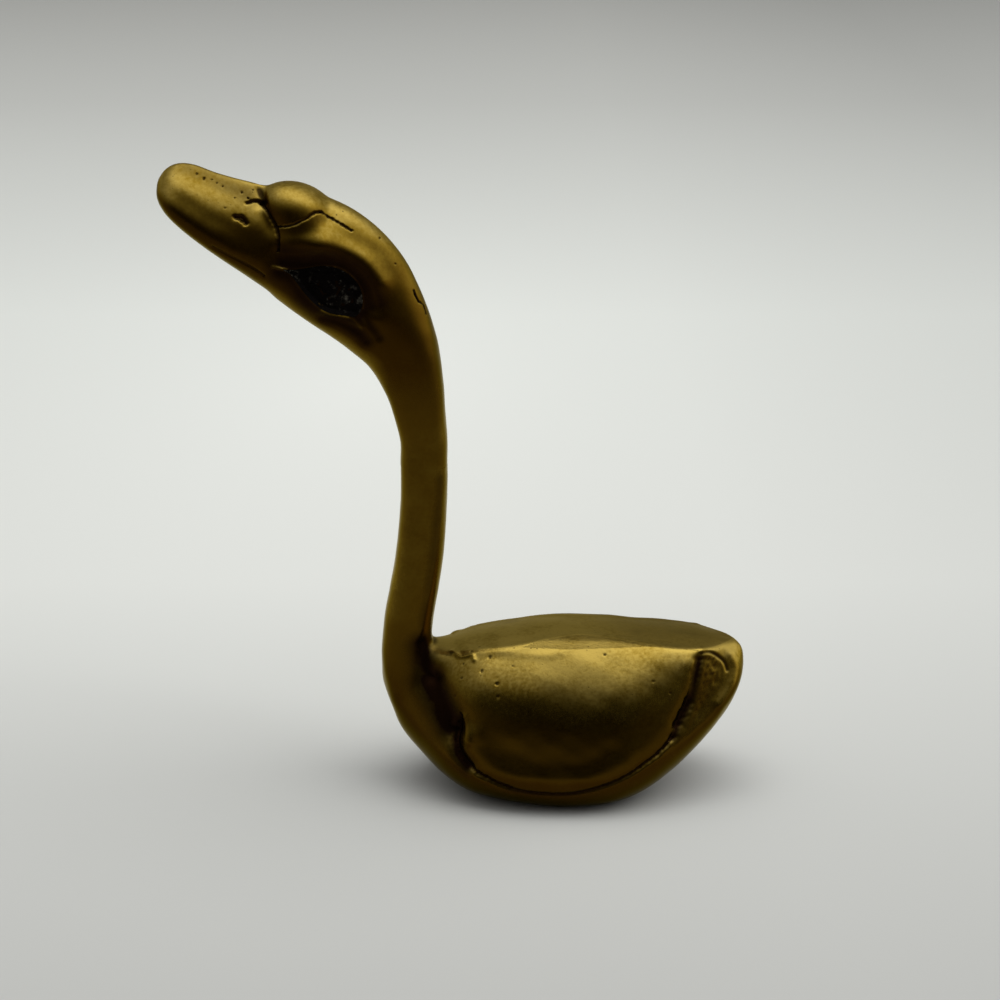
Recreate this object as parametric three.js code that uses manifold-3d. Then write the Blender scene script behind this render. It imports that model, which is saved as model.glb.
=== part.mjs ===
// Brass goose figurine: separately cast pieces pinned and pegged together.
// Millimetres, +Z up. The bird faces -X, its left side is -Y, and it stands on Z = 0.
import * as THREE from "three";
import { mergeVertices } from "three/addons/utils/BufferGeometryUtils.js";
import Module from "manifold-3d";

const wasm = await Module();
wasm.setup();

// Body casting, measured from the front of the breast to the tail
const BODY_LENGTH = 67;
const BODY_WIDTH = 37.4;
const BODY_HEIGHT = 29.5;

// Neck, from its foot on the breast up to the brazed joint half way up
const NECK_SETBACK = 5.3;
const NECK_COLLAR = 1.2;
const NECK_RISE = 32.5;
const NECK_LEAN = 3.4;
const NECK_DEPTH = 8.2;
const NECK_WIDTH = 8.8;
const NECK_FOOT_DEPTH = 8.9;
const NECK_FOOT_WIDTH = 9.6;

// Head and bill, from the brazed joint to the tip of the bill
const HEAD_REACH = 44.8;
const HEAD_RISE = 51.2;
const HEAD_DEPTH = 20.6;
const HEAD_WIDTH = 15.5;
const BILL_SEAM_TILT = 11.5;

// Frontal knob above the root of the bill
const KNOB_LENGTH = 11.6;
const KNOB_HEIGHT = 9;
const KNOB_WIDTH = 12.6;
const KNOB_SINK = 3;

// Eyes: dark inlays in almond sockets with a raised lid
const EYE_LENGTH = 13;
const EYE_HEIGHT = 7.6;
const EYE_INLAY = 1.4;
const EYE_SOCKET_DEPTH = 2.2;
const EYE_DROP = 2.6;
const LID_WIDTH = 1;
const LID_PROUD = 0.4;

// Nostrils, shallow pits in the sides of the bill
const NOSTRIL_LENGTH = 2.6;
const NOSTRIL_HEIGHT = 1.8;
const NOSTRIL_DEPTH = 0.8;

// Wings: shells let into the flanks, standing a little proud, with a groove round them
const WING_THICKNESS = 3.2;
const WING_PROUD = 0.3;
const WING_GROOVE = 1;
const BACK_STRIP_WIDTH = 14;
const SHOULDER_HOLLOW_LENGTH = 6.4;
const SHOULDER_HOLLOW_HEIGHT = 11;
const SHOULDER_HOLLOW_DEPTH = 6;

// Underside: a core hollow closed by a thin oval plate
const PLATE_LENGTH = 14.4;
const PLATE_WIDTH = 14;
const PLATE_THICKNESS = 1.2;
const PLATE_SETBACK = 33;
const LEDGE_WIDTH = 1.6;
const CORE_HEIGHT = 10;

// Fixings
const SEAM = 0.3;
const TENON_RADIUS = 2.8;
const TENON_LENGTH = 9;
const DOWEL_RADIUS = 1.7;
const DOWEL_LENGTH = 18;
const PEG_RADIUS = 1.6;
const PEG_LENGTH = 2.6;
const BILL_PEG_RADIUS = 2;
const BILL_PEG_LENGTH = 5;

// Mesh density
const HULL_RINGS = 34;
const DECK_STEPS = 3;
const FLANK_STEPS = 9;
const BELLY_STEPS = 6;
const BREAST_RINGS = 8;
const NECK_RINGS = 12;
const HEAD_RINGS = 30;
const SPINE_SIDES = 28;
const ROUND_SIDES = 24;
const WING_STEPS = 3;
const WELD_DISTANCE = 1e-4;

// Blocks for flat cuts are this many body lengths on a side
const CUT_BLOCK_RATIO = 4;

// Height of the saddle behind the neck, as a share of the body's
const SADDLE_SHARE = 0.93;

// Hull stations: share of the length, then keel and back as shares of the height, then beam,
// then the height of the widest line, then the widths of the back and the sole as shares of the beam's.
// A keel below zero is filed off level, so that the bird stands on a flat well in front of its weight
const HULL_STATIONS = [
  [0.008, 0.654, 0.82, 0.07, 0.732, 0.005, 0],
  [0.03, 0.512, 0.875, 0.187, 0.664, 0.032, 0],
  [0.063, 0.332, 0.892, 0.289, 0.563, 0.075, 0.011],
  [0.12, 0.19, 0.888, 0.449, 0.42, 0.16, 0.043],
  [0.19, 0.05, 0.892, 0.695, 0.319, 0.23, 0.128],
  [0.27, -0.022, SADDLE_SHARE, 0.856, 0.264, 0.278, 0.3],
  [0.37, -0.07, 0.973, 0.952, 0.237, 0.31, 0.48],
  [0.49, -0.08, 1, 1, 0.23, 0.305, 0.56],
  [0.61, -0.07, 1, 0.995, 0.244, 0.278, 0.52],
  [0.7, -0.02, 0.973, 0.93, 0.292, 0.278, 0.353],
  [0.788, 0.102, 0.953, 0.791, 0.38, 0.257, 0.139],
  [0.878, 0.281, 0.939, 0.599, 0.502, 0.203, 0.053],
  [0.952, 0.485, 0.925, 0.396, 0.631, 0.08, 0.021],
  [0.99, 0.654, 0.892, 0.214, 0.725, 0.021, 0.011],
  [1, 0.753, 0.841, 0.053, 0.78, 0.005, 0.005],
];

// Hull sections: slopes of the flank at the back's edge and at its widest line, in degrees, on the
// flank and on the tail, and how far each end of a curve is drawn along its slope
const BACK_CROWN = 0.1;
const FLANK_FALL = [24, 34];
const FLANK_FALL_RANGE = [0.776, 0.94];
const FLANK_EDGE = [86, 50];
const FLANK_EDGE_RANGE = [0.448, 0.896];
const FLANK_UPPER_PULL = 0.55;
const FLANK_SIDE_PULL = 0.44;
const BELLY_PULL = 0.55;
const LEAST_EDGE = 0.05;
const MOST_EDGE_SHARE = 0.9;
const LEAST_HALF = 0.2;

// Wing outline in side view, as shares of the body's length and height
const WING_TOP_SHARE = 1.2;
const WING_EDGE = [
  [0.876, 0.95],
  [0.855, 0.72],
  [0.824, 0.5],
  [0.775, 0.3],
  [0.7, 0.18],
  [0.6, 0.125],
  [0.4955, 0.105],
  [0.38, 0.135],
  [0.273, 0.205],
  [0.215, 0.29],
  [0.2, 0.42],
  [0.21, 0.62],
  [0.228, 0.95],
];
const SHOULDER_HOLLOW_SHARES = [0.166, 0.52, 0.6];
const WING_PEG_SHARES = [0.45, 0.6];
const WING_PEG_HEIGHT_SHARE = 0.42;

// Breast under the neck: steps back and up from the neck's foot, as shares of the body's height,
// then depth and width as shares of the foot's
const BREAST_STATIONS = [
  [0.217, -0.661, 0.854, 1.042],
  [0.081, -0.458, 1.079, 1.208],
  [0.017, -0.271, 1.09, 1.167],
  [-0.003, -0.119, 1.056, 1.083],
  [0, 0, 1, 1],
];

// Neck line, as shares of its lean and its rise, with shares of the foot's thickness kept
const NECK_STATIONS = [
  [0, 0, 1],
  [0.06, 0.1, 0.55],
  [0.28, 0.25, 0.1],
  [0.66, 0.47, 0],
  [0.92, 0.7, 0],
  [1, 0.87, 0],
  [1, 1, 0],
];

// Head line, as shares of its reach and rise, then how far depth and width have grown from
// the neck's towards the head's
const HEAD_STATIONS = [
  [0, 0, 0, 0],
  [0, 0.09, 0, 0],
  [0.016, 0.185, 0.065, 0.05],
  [0.036, 0.286, 0.18, 0.21],
  [0.083, 0.413, 0.39, 0.515],
  [0.153, 0.519, 0.65, 0.79],
  [0.244, 0.621, 0.903, 0.97],
  [0.353, 0.708, 1, 1],
  [0.467, 0.77, 0.919, 0.955],
  [0.565, 0.808, 0.718, 0.77],
  [0.703, 0.863, 0.484, 0.84],
  [0.826, 0.918, 0.282, 0.76],
  [0.922, 0.972, 0.1, 0.54],
  [0.975, 1, -0.14, -0.1],
  [1, 1.012, -0.49, -0.84],
];
const SPINE_POWER = 2.4;

// How far the widest line of a section sags below its middle, on the brow and on the bill
const BROW_SAG = 0.36;
const BROW_SAG_RANGE = [0.2, 0.45];
const BILL_SAG = 0.8;
const BILL_SAG_RANGE = [0.55, 0.75];
const BILL_SEAM_SHARE = 0.636;
const KNOB_SHARE = 0.643;
const EYE_SHARE = 0.466;
const NOSTRIL_SHARE = 0.714;
const NOSTRIL_LIFT_SHARE = 0.17;

// Brass of the castings, brightest where hands have rubbed it, and the dark inlay
function brass(colour, roughness) {
  return new THREE.MeshStandardMaterial({ color: colour, roughness, metalness: 1 });
}
const FINISHES = {
  body: brass(0x6f5a26, 0.36),
  wing: brass(0xb79c4a, 0.3),
  neck: brass(0x5e4a1a, 0.34),
  head: brass(0x9a8446, 0.32),
  bill: brass(0xb39a58, 0.32),
  plate: brass(0x5a4a22, 0.5),
  dowel: brass(0x8a7030, 0.4),
  inlay: new THREE.MeshStandardMaterial({ color: 0x0d0907, roughness: 0.85, metalness: 0 }),
};

// A closed solid from a geometry, so pieces can be joined and cut
function solid(geometry) {
  const bare = geometry.clone();
  bare.deleteAttribute("normal");
  bare.deleteAttribute("uv");
  const welded = mergeVertices(bare, WELD_DISTANCE);
  return new wasm.Manifold(
    new wasm.Mesh({
      numProp: 3,
      vertProperties: new Float32Array(welded.getAttribute("position").array),
      triVerts: new Uint32Array(welded.index.array),
    }),
  );
}

function piece(name, shape, finish) {
  const made = shape.getMesh();
  const geometry = new THREE.BufferGeometry();
  geometry.setAttribute("position", new THREE.BufferAttribute(made.vertProperties, 3));
  geometry.setIndex(new THREE.BufferAttribute(made.triVerts, 1));
  geometry.computeVertexNormals();
  const mesh = new THREE.Mesh(geometry, finish);
  mesh.name = name;
  return mesh;
}

// A skin over rings of points with both ends capped
function loft(rings) {
  const sides = rings[0].length;
  const points = rings.flat();
  const index = [];
  for (let ring = 0; ring + 1 < rings.length; ring += 1) {
    for (let side = 0; side < sides; side += 1) {
      const next = (side + 1) % sides;
      const a = ring * sides + side;
      const b = ring * sides + next;
      index.push(a, b, b + sides, a, b + sides, a + sides);
    }
  }
  [rings[0], rings[rings.length - 1]].forEach((ring, end) => {
    const centre = new THREE.Vector3();
    ring.forEach((point) => centre.addScaledVector(point, 1 / sides));
    const hub = points.push(centre) - 1;
    const first = end * (rings.length - 1) * sides;
    for (let side = 0; side < sides; side += 1) {
      const next = (side + 1) % sides;
      const rim = end ? [side, next] : [next, side];
      index.push(hub, first + rim[0], first + rim[1]);
    }
  });
  const geometry = new THREE.BufferGeometry().setFromPoints(points);
  geometry.setIndex(index);
  return geometry;
}

// One coordinate of a rounded-square section: power 2 is round, more is squarer
function rounded(value, power) {
  return Math.sign(value) * Math.abs(value) ** (2 / power);
}

function smoothLine(rows) {
  return new THREE.CatmullRomCurve3(
    rows.map((row) => new THREE.Vector3(...row)),
    false,
    "catmullrom",
  );
}

// The body's outside, drawn in by an inset for the floor of the wing pockets
const hullSides = smoothLine(HULL_STATIONS.map(([along, keel, back]) => [along, keel, back]));
const hullBeam = smoothLine(HULL_STATIONS.map(([, , , beam, waist]) => [beam, waist, 0]));
const hullEdges = smoothLine(HULL_STATIONS.map(([, , , , , deck, sole]) => [deck, sole, 0]));

function between([from, to], along, [start, end]) {
  return from + (to - from) * THREE.MathUtils.smoothstep(along, start, end);
}

// A point that lies a distance from another along a slope, in degrees below the level
function drawn(point, slope, distance) {
  const angle = THREE.MathUtils.degToRad(slope);
  return new THREE.Vector2(
    point.x + distance * Math.cos(angle),
    point.y - distance * Math.sin(angle),
  );
}

// Half of a hull section from the middle of the back, round the flank, to the middle of the sole
function hullSection(share, inset) {
  const side = hullSides.getPoint(share);
  const middle = hullBeam.getPoint(share);
  const edges = hullEdges.getPoint(share);
  const half = Math.max((middle.x * BODY_WIDTH) / 2 - inset, LEAST_HALF);
  const within = (edge) =>
    THREE.MathUtils.clamp((edge * BODY_WIDTH) / 2, LEAST_EDGE, half * MOST_EDGE_SHARE);
  const keel = side.y * BODY_HEIGHT;
  const corner = new THREE.Vector2(within(edges.x), side.z * BODY_HEIGHT - inset);
  const waist = new THREE.Vector2(half, middle.y * BODY_HEIGHT);
  const sole = new THREE.Vector2(within(edges.y), keel);
  const fall = between(FLANK_FALL, side.x, FLANK_FALL_RANGE);
  const edge = between(FLANK_EDGE, side.x, FLANK_EDGE_RANGE);
  const upperPull = (FLANK_UPPER_PULL * (half - corner.x)) / Math.cos(THREE.MathUtils.degToRad(fall));
  const sidePull = FLANK_SIDE_PULL * (corner.y - waist.y);
  const flank = new THREE.CubicBezierCurve(
    corner,
    drawn(corner, fall, upperPull),
    drawn(waist, edge, -sidePull),
    waist,
  );
  const belly = new THREE.CubicBezierCurve(
    waist,
    new THREE.Vector2(half, waist.y - BELLY_PULL * (waist.y - keel)),
    new THREE.Vector2(sole.x + BELLY_PULL * (half - sole.x), keel),
    sole,
  );
  const points = [];
  for (let step = 0; step < DECK_STEPS; step += 1) {
    const out = step / DECK_STEPS;
    const crown = BACK_CROWN * corner.x * (1 - out * out);
    points.push(new THREE.Vector2(out * corner.x, corner.y + crown));
  }
  points.push(...flank.getPoints(FLANK_STEPS), ...belly.getPoints(BELLY_STEPS).slice(1));
  points.push(new THREE.Vector2(0, keel));
  return points;
}

function hull(inset) {
  const rings = [];
  for (let ring = 0; ring <= HULL_RINGS; ring += 1) {
    const x = hullSides.getPoint(ring / HULL_RINGS).x * BODY_LENGTH;
    const near = hullSection(ring / HULL_RINGS, inset);
    const far = near.slice(1, -1).reverse();
    rings.push([
      ...near.map((point) => new THREE.Vector3(x, -point.x, point.y)),
      ...far.map((point) => new THREE.Vector3(x, point.x, point.y)),
    ]);
  }
  return solid(loft(rings));
}

// Neck and head follow a line of sections, square to it at every point
function spine(line, sizes, sagAt = () => 0) {
  return (share) => {
    const centre = line.getPoint(share);
    const along = line.getTangent(share);
    const crown = new THREE.Vector3(along.z, 0, -along.x);
    const size = sizes.getPoint(share);
    return { centre, along, crown, depth: size.x, width: size.y, sag: sagAt(share) };
  };
}

// How far out a section reaches at an angle from its crown, as a share of its half width
function outwards(angle, sag) {
  const reach = (turn) => rounded(Math.sin(turn), SPINE_POWER) * (1 - sag * Math.cos(turn));
  let widest = 0;
  for (let step = 0; step < SPINE_SIDES; step += 1) {
    widest = Math.max(widest, reach((step / SPINE_SIDES) * Math.PI));
  }
  return reach(angle) / widest;
}

function spineSolid(at, from, to, count) {
  const rings = [];
  for (let ring = 0; ring <= count; ring += 1) {
    const { centre, crown, depth, width, sag } = at(from + ((to - from) * ring) / count);
    const points = [];
    for (let step = 0; step < SPINE_SIDES; step += 1) {
      const angle = (step / SPINE_SIDES) * 2 * Math.PI;
      const point = centre.clone();
      point.addScaledVector(crown, (depth / 2) * rounded(Math.cos(angle), SPINE_POWER));
      point.y += (width / 2) * outwards(angle, sag);
      points.push(point);
    }
    rings.push(points);
  }
  return solid(loft(rings));
}

// A round pin that starts at a point and runs along a direction
function pin(radius, length, start, direction) {
  const geometry = new THREE.CylinderGeometry(radius, radius, length, ROUND_SIDES);
  geometry.translate(0, length / 2, 0);
  const turn = new THREE.Quaternion().setFromUnitVectors(new THREE.Vector3(0, 1, 0), direction);
  geometry.applyQuaternion(turn);
  geometry.translate(start.x, start.y, start.z);
  return solid(geometry);
}

// An egg with three widths, turned to lie along a line of the head
function egg(length, height, width, centre, along) {
  const geometry = new THREE.SphereGeometry(0.5, ROUND_SIDES, ROUND_SIDES / 2);
  geometry.scale(length, width, height);
  geometry.rotateY(Math.atan2(-along.z, along.x));
  geometry.translate(centre.x, centre.y, centre.z);
  return solid(geometry);
}

// Everything on one side of a plane through a point
function halfSpace(point, direction) {
  const size = CUT_BLOCK_RATIO * BODY_LENGTH;
  const geometry = new THREE.BoxGeometry(size, size, size).translate(0, 0, size / 2);
  const turn = new THREE.Quaternion().setFromUnitVectors(new THREE.Vector3(0, 0, 1), direction);
  geometry.applyQuaternion(turn);
  geometry.translate(point.x, point.y, point.z);
  return solid(geometry);
}

// Wing outline in side view, grown outwards by the width of the groove
function wingOutline(grow) {
  const edge = new THREE.SplineCurve(
    WING_EDGE.map(([along, up]) => new THREE.Vector2(along * BODY_LENGTH, up * BODY_HEIGHT)),
  );
  const steps = WING_STEPS * WING_EDGE.length;
  const outline = [];
  for (let step = 0; step <= steps; step += 1) {
    const along = edge.getTangent(step / steps);
    const outward = new THREE.Vector2(-along.y, along.x);
    outline.push(edge.getPoint(step / steps).addScaledVector(outward, grow));
  }
  const top = WING_TOP_SHARE * BODY_HEIGHT;
  const front = outline[outline.length - 1];
  outline.push(new THREE.Vector2(front.x, top), new THREE.Vector2(outline[0].x, top));
  return new THREE.Shape(outline);
}

// The outline carried sideways from the back strip out past the flank
function wingBlock(side, grow, inner) {
  const geometry = new THREE.ExtrudeGeometry(wingOutline(grow), {
    depth: BODY_WIDTH,
    bevelEnabled: false,
  });
  geometry.rotateX(Math.PI / 2);
  geometry.translate(0, side < 0 ? -inner : inner + BODY_WIDTH, 0);
  return solid(geometry);
}

// How far out the flank stands at a height, between two points of its section
function flankReach(share, height) {
  const points = hullSection(share, 0);
  const next = points.findIndex((point) => point.y <= height);
  const upper = points[next - 1];
  const lower = points[next];
  return THREE.MathUtils.mapLinear(height, upper.y, lower.y, upper.x, lower.x);
}

// Pegs on the inside of a wing, or with a clearance the holes they enter
function wingPegs(side, clearance) {
  const height = WING_PEG_HEIGHT_SHARE * BODY_HEIGHT;
  return WING_PEG_SHARES.map((share) => {
    const start = new THREE.Vector3(
      hullSides.getPoint(share).x * BODY_LENGTH,
      side * (flankReach(share, height) - WING_THICKNESS / 2),
      height,
    );
    const length = WING_THICKNESS / 2 + PEG_LENGTH + clearance;
    return pin(PEG_RADIUS + clearance, length, start, new THREE.Vector3(0, -side, 0));
  });
}

const UP = new THREE.Vector3(0, 0, 1);
const DOWN = new THREE.Vector3(0, 0, -1);
const SIDES = { left: -1, right: 1 };

// Body casting
const neckFoot = new THREE.Vector3(NECK_SETBACK, 0, SADDLE_SHARE * BODY_HEIGHT + NECK_COLLAR);
const breastAt = spine(
  smoothLine(
    BREAST_STATIONS.map(([back, up]) => [
      neckFoot.x + back * BODY_HEIGHT,
      0,
      neckFoot.z + up * BODY_HEIGHT,
    ]),
  ),
  smoothLine(
    BREAST_STATIONS.map(([, , depth, width]) => [depth * NECK_FOOT_DEPTH, width * NECK_FOOT_WIDTH, 0]),
  ),
);
const breastTop = halfSpace(neckFoot.clone().addScaledVector(DOWN, SEAM), DOWN);
const breast = spineSolid(breastAt, 0, 1, BREAST_RINGS).intersect(breastTop);
const socket = pin(TENON_RADIUS + SEAM, TENON_LENGTH + SEAM, neckFoot, DOWN);

const plateCentre = new THREE.Vector3(PLATE_SETBACK, 0, 0);
function oval(length, width, height) {
  const geometry = new THREE.CylinderGeometry(0.5, 0.5, 1, ROUND_SIDES * 2);
  geometry.rotateX(Math.PI / 2);
  geometry.scale(length, width, height);
  return geometry;
}
const rebateGeometry = oval(PLATE_LENGTH + 2 * SEAM, PLATE_WIDTH + 2 * SEAM, 2 * (PLATE_THICKNESS + SEAM));
rebateGeometry.translate(plateCentre.x, 0, 0);
const coreLength = PLATE_LENGTH - 2 * LEDGE_WIDTH;
const coreWidth = PLATE_WIDTH - 2 * LEDGE_WIDTH;
const core = egg(coreLength, 2 * CORE_HEIGHT, coreWidth, plateCentre, new THREE.Vector3(1, 0, 0));

let body = hull(0).add(breast).intersect(halfSpace(new THREE.Vector3(), UP));
body = body.subtract(socket).subtract(solid(rebateGeometry)).subtract(core);
const pocketFloor = hull(WING_THICKNESS + SEAM);
const wings = {};
Object.entries(SIDES).forEach(([name, side]) => {
  const inner = BACK_STRIP_WIDTH / 2;
  const hollowPlace = new THREE.Vector3(
    SHOULDER_HOLLOW_SHARES[0] * BODY_LENGTH,
    side * (SHOULDER_HOLLOW_SHARES[1] * BODY_WIDTH) / 2,
    SHOULDER_HOLLOW_SHARES[2] * BODY_HEIGHT,
  );
  const hollow = egg(
    SHOULDER_HOLLOW_LENGTH,
    SHOULDER_HOLLOW_HEIGHT,
    SHOULDER_HOLLOW_DEPTH,
    hollowPlace,
    new THREE.Vector3(1, 0, 0),
  );
  body = body.subtract(wingBlock(side, WING_GROOVE, inner - SEAM).subtract(pocketFloor));
  wingPegs(side, SEAM).forEach((hole) => {
    body = body.subtract(hole);
  });
  let wing = hull(-WING_PROUD).intersect(wingBlock(side, 0, inner)).subtract(hull(WING_THICKNESS));
  wingPegs(side, 0).forEach((peg) => {
    wing = wing.add(peg);
  });
  body = body.subtract(hollow);
  wings[name] = wing.subtract(hollow);
});

// Neck with its tenon below and a dowel hole above
const neckAt = spine(
  smoothLine(NECK_STATIONS.map(([lean, rise]) => [lean * NECK_LEAN, 0, rise * NECK_RISE])),
  smoothLine(
    NECK_STATIONS.map(([, , foot]) => [
      NECK_DEPTH + foot * (NECK_FOOT_DEPTH - NECK_DEPTH),
      NECK_WIDTH + foot * (NECK_FOOT_WIDTH - NECK_WIDTH),
      0,
    ]),
  ),
);
const joint = new THREE.Vector3(NECK_LEAN, 0, NECK_RISE);
const neckTop = joint.clone().addScaledVector(UP, -SEAM);
const holeDepth = DOWEL_LENGTH / 2 + SEAM;
const neck = spineSolid(neckAt, 0, 1, NECK_RINGS)
  .intersect(halfSpace(neckTop, DOWN))
  .add(pin(TENON_RADIUS, TENON_LENGTH + NECK_COLLAR, new THREE.Vector3(0, 0, NECK_COLLAR), DOWN))
  .subtract(pin(DOWEL_RADIUS + SEAM, holeDepth, neckTop, DOWN));

// Head with its knob, eyelids and sockets, parted from the bill along a sloping seam
const headAt = spine(
  smoothLine(HEAD_STATIONS.map(([reach, rise]) => [-reach * HEAD_REACH, 0, rise * HEAD_RISE])),
  smoothLine(
    HEAD_STATIONS.map(([, , deep, wide]) => [
      NECK_DEPTH + deep * (HEAD_DEPTH - NECK_DEPTH),
      NECK_WIDTH + wide * (HEAD_WIDTH - NECK_WIDTH),
      0,
    ]),
  ),
  (share) =>
    between([0, BROW_SAG], share, BROW_SAG_RANGE) + between([0, BILL_SAG - BROW_SAG], share, BILL_SAG_RANGE),
);

// A point on the side of the head, off its line by a distance towards the crown
function headSide(share, lift, side) {
  const { centre, along, crown, depth, width, sag } = headAt(share);
  const height = (2 * lift) / depth;
  const angle = Math.acos(Math.sign(height) * Math.abs(height) ** (SPINE_POWER / 2));
  const point = centre.clone().addScaledVector(crown, lift);
  point.y = (side * width * outwards(angle, sag)) / 2;
  return { point, along };
}

function almond(grow, depth) {
  const half = EYE_LENGTH / 2 + grow;
  const rise = EYE_HEIGHT / 2 + grow;
  const radius = (half * half + rise * rise) / (2 * rise);
  const sweep = Math.asin(half / radius);
  const shape = new THREE.Shape();
  shape.absarc(0, rise - radius, radius, Math.PI / 2 - sweep, Math.PI / 2 + sweep, false);
  shape.absarc(0, radius - rise, radius, -Math.PI / 2 - sweep, -Math.PI / 2 + sweep, false);
  return new THREE.ExtrudeGeometry(shape, { depth, bevelEnabled: false, curveSegments: ROUND_SIDES / 2 });
}

// The eye's own axes: along the head, and out of its side
function eyeAxes(side) {
  const { point, along } = headSide(EYE_SHARE, -EYE_DROP, side);
  const out = new THREE.Vector3(0, side, 0);
  const axes = new THREE.Matrix4().makeBasis(along, out.clone().cross(along), out);
  return { point, axes };
}

function atEye(geometry, side, sink) {
  const { point, axes } = eyeAxes(side);
  geometry.applyMatrix4(axes);
  geometry.translate(point.x, point.y - side * sink, point.z);
  return solid(geometry);
}

const knobAt = headAt(KNOB_SHARE);
const knobCentre = knobAt.centre.clone().addScaledVector(knobAt.crown, knobAt.depth / 2 - KNOB_SINK);
let skull = spineSolid(headAt, 0, 1, HEAD_RINGS);
skull = skull.add(egg(KNOB_LENGTH, KNOB_HEIGHT, KNOB_WIDTH, knobCentre, knobAt.along));
Object.values(SIDES).forEach((side) => {
  const socketCut = EYE_SOCKET_DEPTH + EYE_LENGTH / 2;
  skull = skull.add(atEye(almond(LID_WIDTH, EYE_SOCKET_DEPTH + LID_PROUD), side, EYE_SOCKET_DEPTH));
  skull = skull.subtract(atEye(almond(SEAM, socketCut), side, EYE_SOCKET_DEPTH));
  const nostril = headSide(NOSTRIL_SHARE, (NOSTRIL_LIFT_SHARE * headAt(NOSTRIL_SHARE).depth) / 2, side);
  const pit = egg(NOSTRIL_LENGTH, NOSTRIL_HEIGHT, 2 * NOSTRIL_DEPTH, nostril.point, nostril.along);
  skull = skull.subtract(pit);
});
skull = skull.subtract(pin(DOWEL_RADIUS + SEAM, holeDepth, new THREE.Vector3(), UP));

const tilt = THREE.MathUtils.degToRad(BILL_SEAM_TILT);
const toBill = new THREE.Vector3(-Math.cos(tilt), 0, -Math.sin(tilt));
const toHead = toBill.clone().negate();
const billSeam = headAt(BILL_SEAM_SHARE).centre;
const headFace = billSeam.clone().addScaledVector(toHead, SEAM);
const pegRoot = billSeam.clone().addScaledVector(toBill, BILL_PEG_LENGTH);
const head = skull
  .intersect(halfSpace(headFace, toHead))
  .subtract(pin(BILL_PEG_RADIUS + SEAM, BILL_PEG_LENGTH + SEAM, billSeam, toHead));
const bill = skull
  .intersect(halfSpace(billSeam, toBill))
  .add(pin(BILL_PEG_RADIUS, 2 * BILL_PEG_LENGTH, pegRoot, toHead));

// Assembly: the figure is set so that the middle of its bottom is the origin
const figure = new THREE.Group();
figure.name = "figure";
figure.add(piece("body", body, FINISHES.body));
figure.add(piece("left_wing", wings.left, FINISHES.wing));
figure.add(piece("right_wing", wings.right, FINISHES.wing));

const plate = new THREE.Mesh(oval(PLATE_LENGTH, PLATE_WIDTH, PLATE_THICKNESS), FINISHES.plate);
plate.name = "base_plate";
plate.position.set(plateCentre.x, 0, PLATE_THICKNESS / 2);
figure.add(plate);

const neckGroup = new THREE.Group();
neckGroup.name = "neck_assembly";
neckGroup.position.copy(neckFoot);
neckGroup.add(piece("neck", neck, FINISHES.neck));
figure.add(neckGroup);

const dowel = new THREE.Mesh(
  new THREE.CylinderGeometry(DOWEL_RADIUS, DOWEL_RADIUS, DOWEL_LENGTH, ROUND_SIDES),
  FINISHES.dowel,
);
dowel.name = "neck_dowel";
dowel.rotation.x = Math.PI / 2;
dowel.position.copy(joint).addScaledVector(UP, -SEAM / 2);
neckGroup.add(dowel);

const headGroup = new THREE.Group();
headGroup.name = "head_assembly";
headGroup.position.copy(joint);
headGroup.add(piece("head", head, FINISHES.head));
headGroup.add(piece("bill", bill, FINISHES.bill));
Object.entries(SIDES).forEach(([name, side]) => {
  const { point, axes } = eyeAxes(side);
  const eye = new THREE.Mesh(almond(0, EYE_INLAY), FINISHES.inlay);
  eye.name = name + "_eye";
  eye.position.copy(point);
  eye.position.y -= side * (EYE_SOCKET_DEPTH - SEAM);
  eye.setRotationFromMatrix(axes);
  headGroup.add(eye);
});
neckGroup.add(headGroup);

const root = new THREE.Group();
root.name = "brass_goose";
root.add(figure);
const extent = new THREE.Box3().setFromObject(root);
figure.position.x = -(extent.min.x + extent.max.x) / 2;
root.updateMatrixWorld(true);

export default root;
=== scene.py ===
import math

import bmesh
import bpy
import numpy as np
from mathutils import Matrix, Vector, noise
from mathutils.bvhtree import BVHTree
from mathutils.kdtree import KDTree


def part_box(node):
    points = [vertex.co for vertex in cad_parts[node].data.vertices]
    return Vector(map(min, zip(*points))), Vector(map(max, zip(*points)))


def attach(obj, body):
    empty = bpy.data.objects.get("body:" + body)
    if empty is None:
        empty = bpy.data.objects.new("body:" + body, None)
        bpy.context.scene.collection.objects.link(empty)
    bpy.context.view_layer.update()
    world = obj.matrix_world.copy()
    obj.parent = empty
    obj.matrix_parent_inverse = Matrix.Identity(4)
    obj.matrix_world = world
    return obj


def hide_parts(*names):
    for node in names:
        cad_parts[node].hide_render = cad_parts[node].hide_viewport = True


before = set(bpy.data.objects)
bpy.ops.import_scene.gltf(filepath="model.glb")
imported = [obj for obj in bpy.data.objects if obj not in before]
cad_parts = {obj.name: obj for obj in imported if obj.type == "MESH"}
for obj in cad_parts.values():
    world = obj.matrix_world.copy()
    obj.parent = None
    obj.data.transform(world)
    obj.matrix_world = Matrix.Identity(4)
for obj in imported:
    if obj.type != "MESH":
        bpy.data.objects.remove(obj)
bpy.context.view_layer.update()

# A cast brass goose, dark with age. The casting is modelled in millimetres and set down in metres.
MM = 0.001
TINY = 1e-9
SQUARE = ((-1, -1), (1, -1), (1, 1), (-1, 1))

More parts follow.
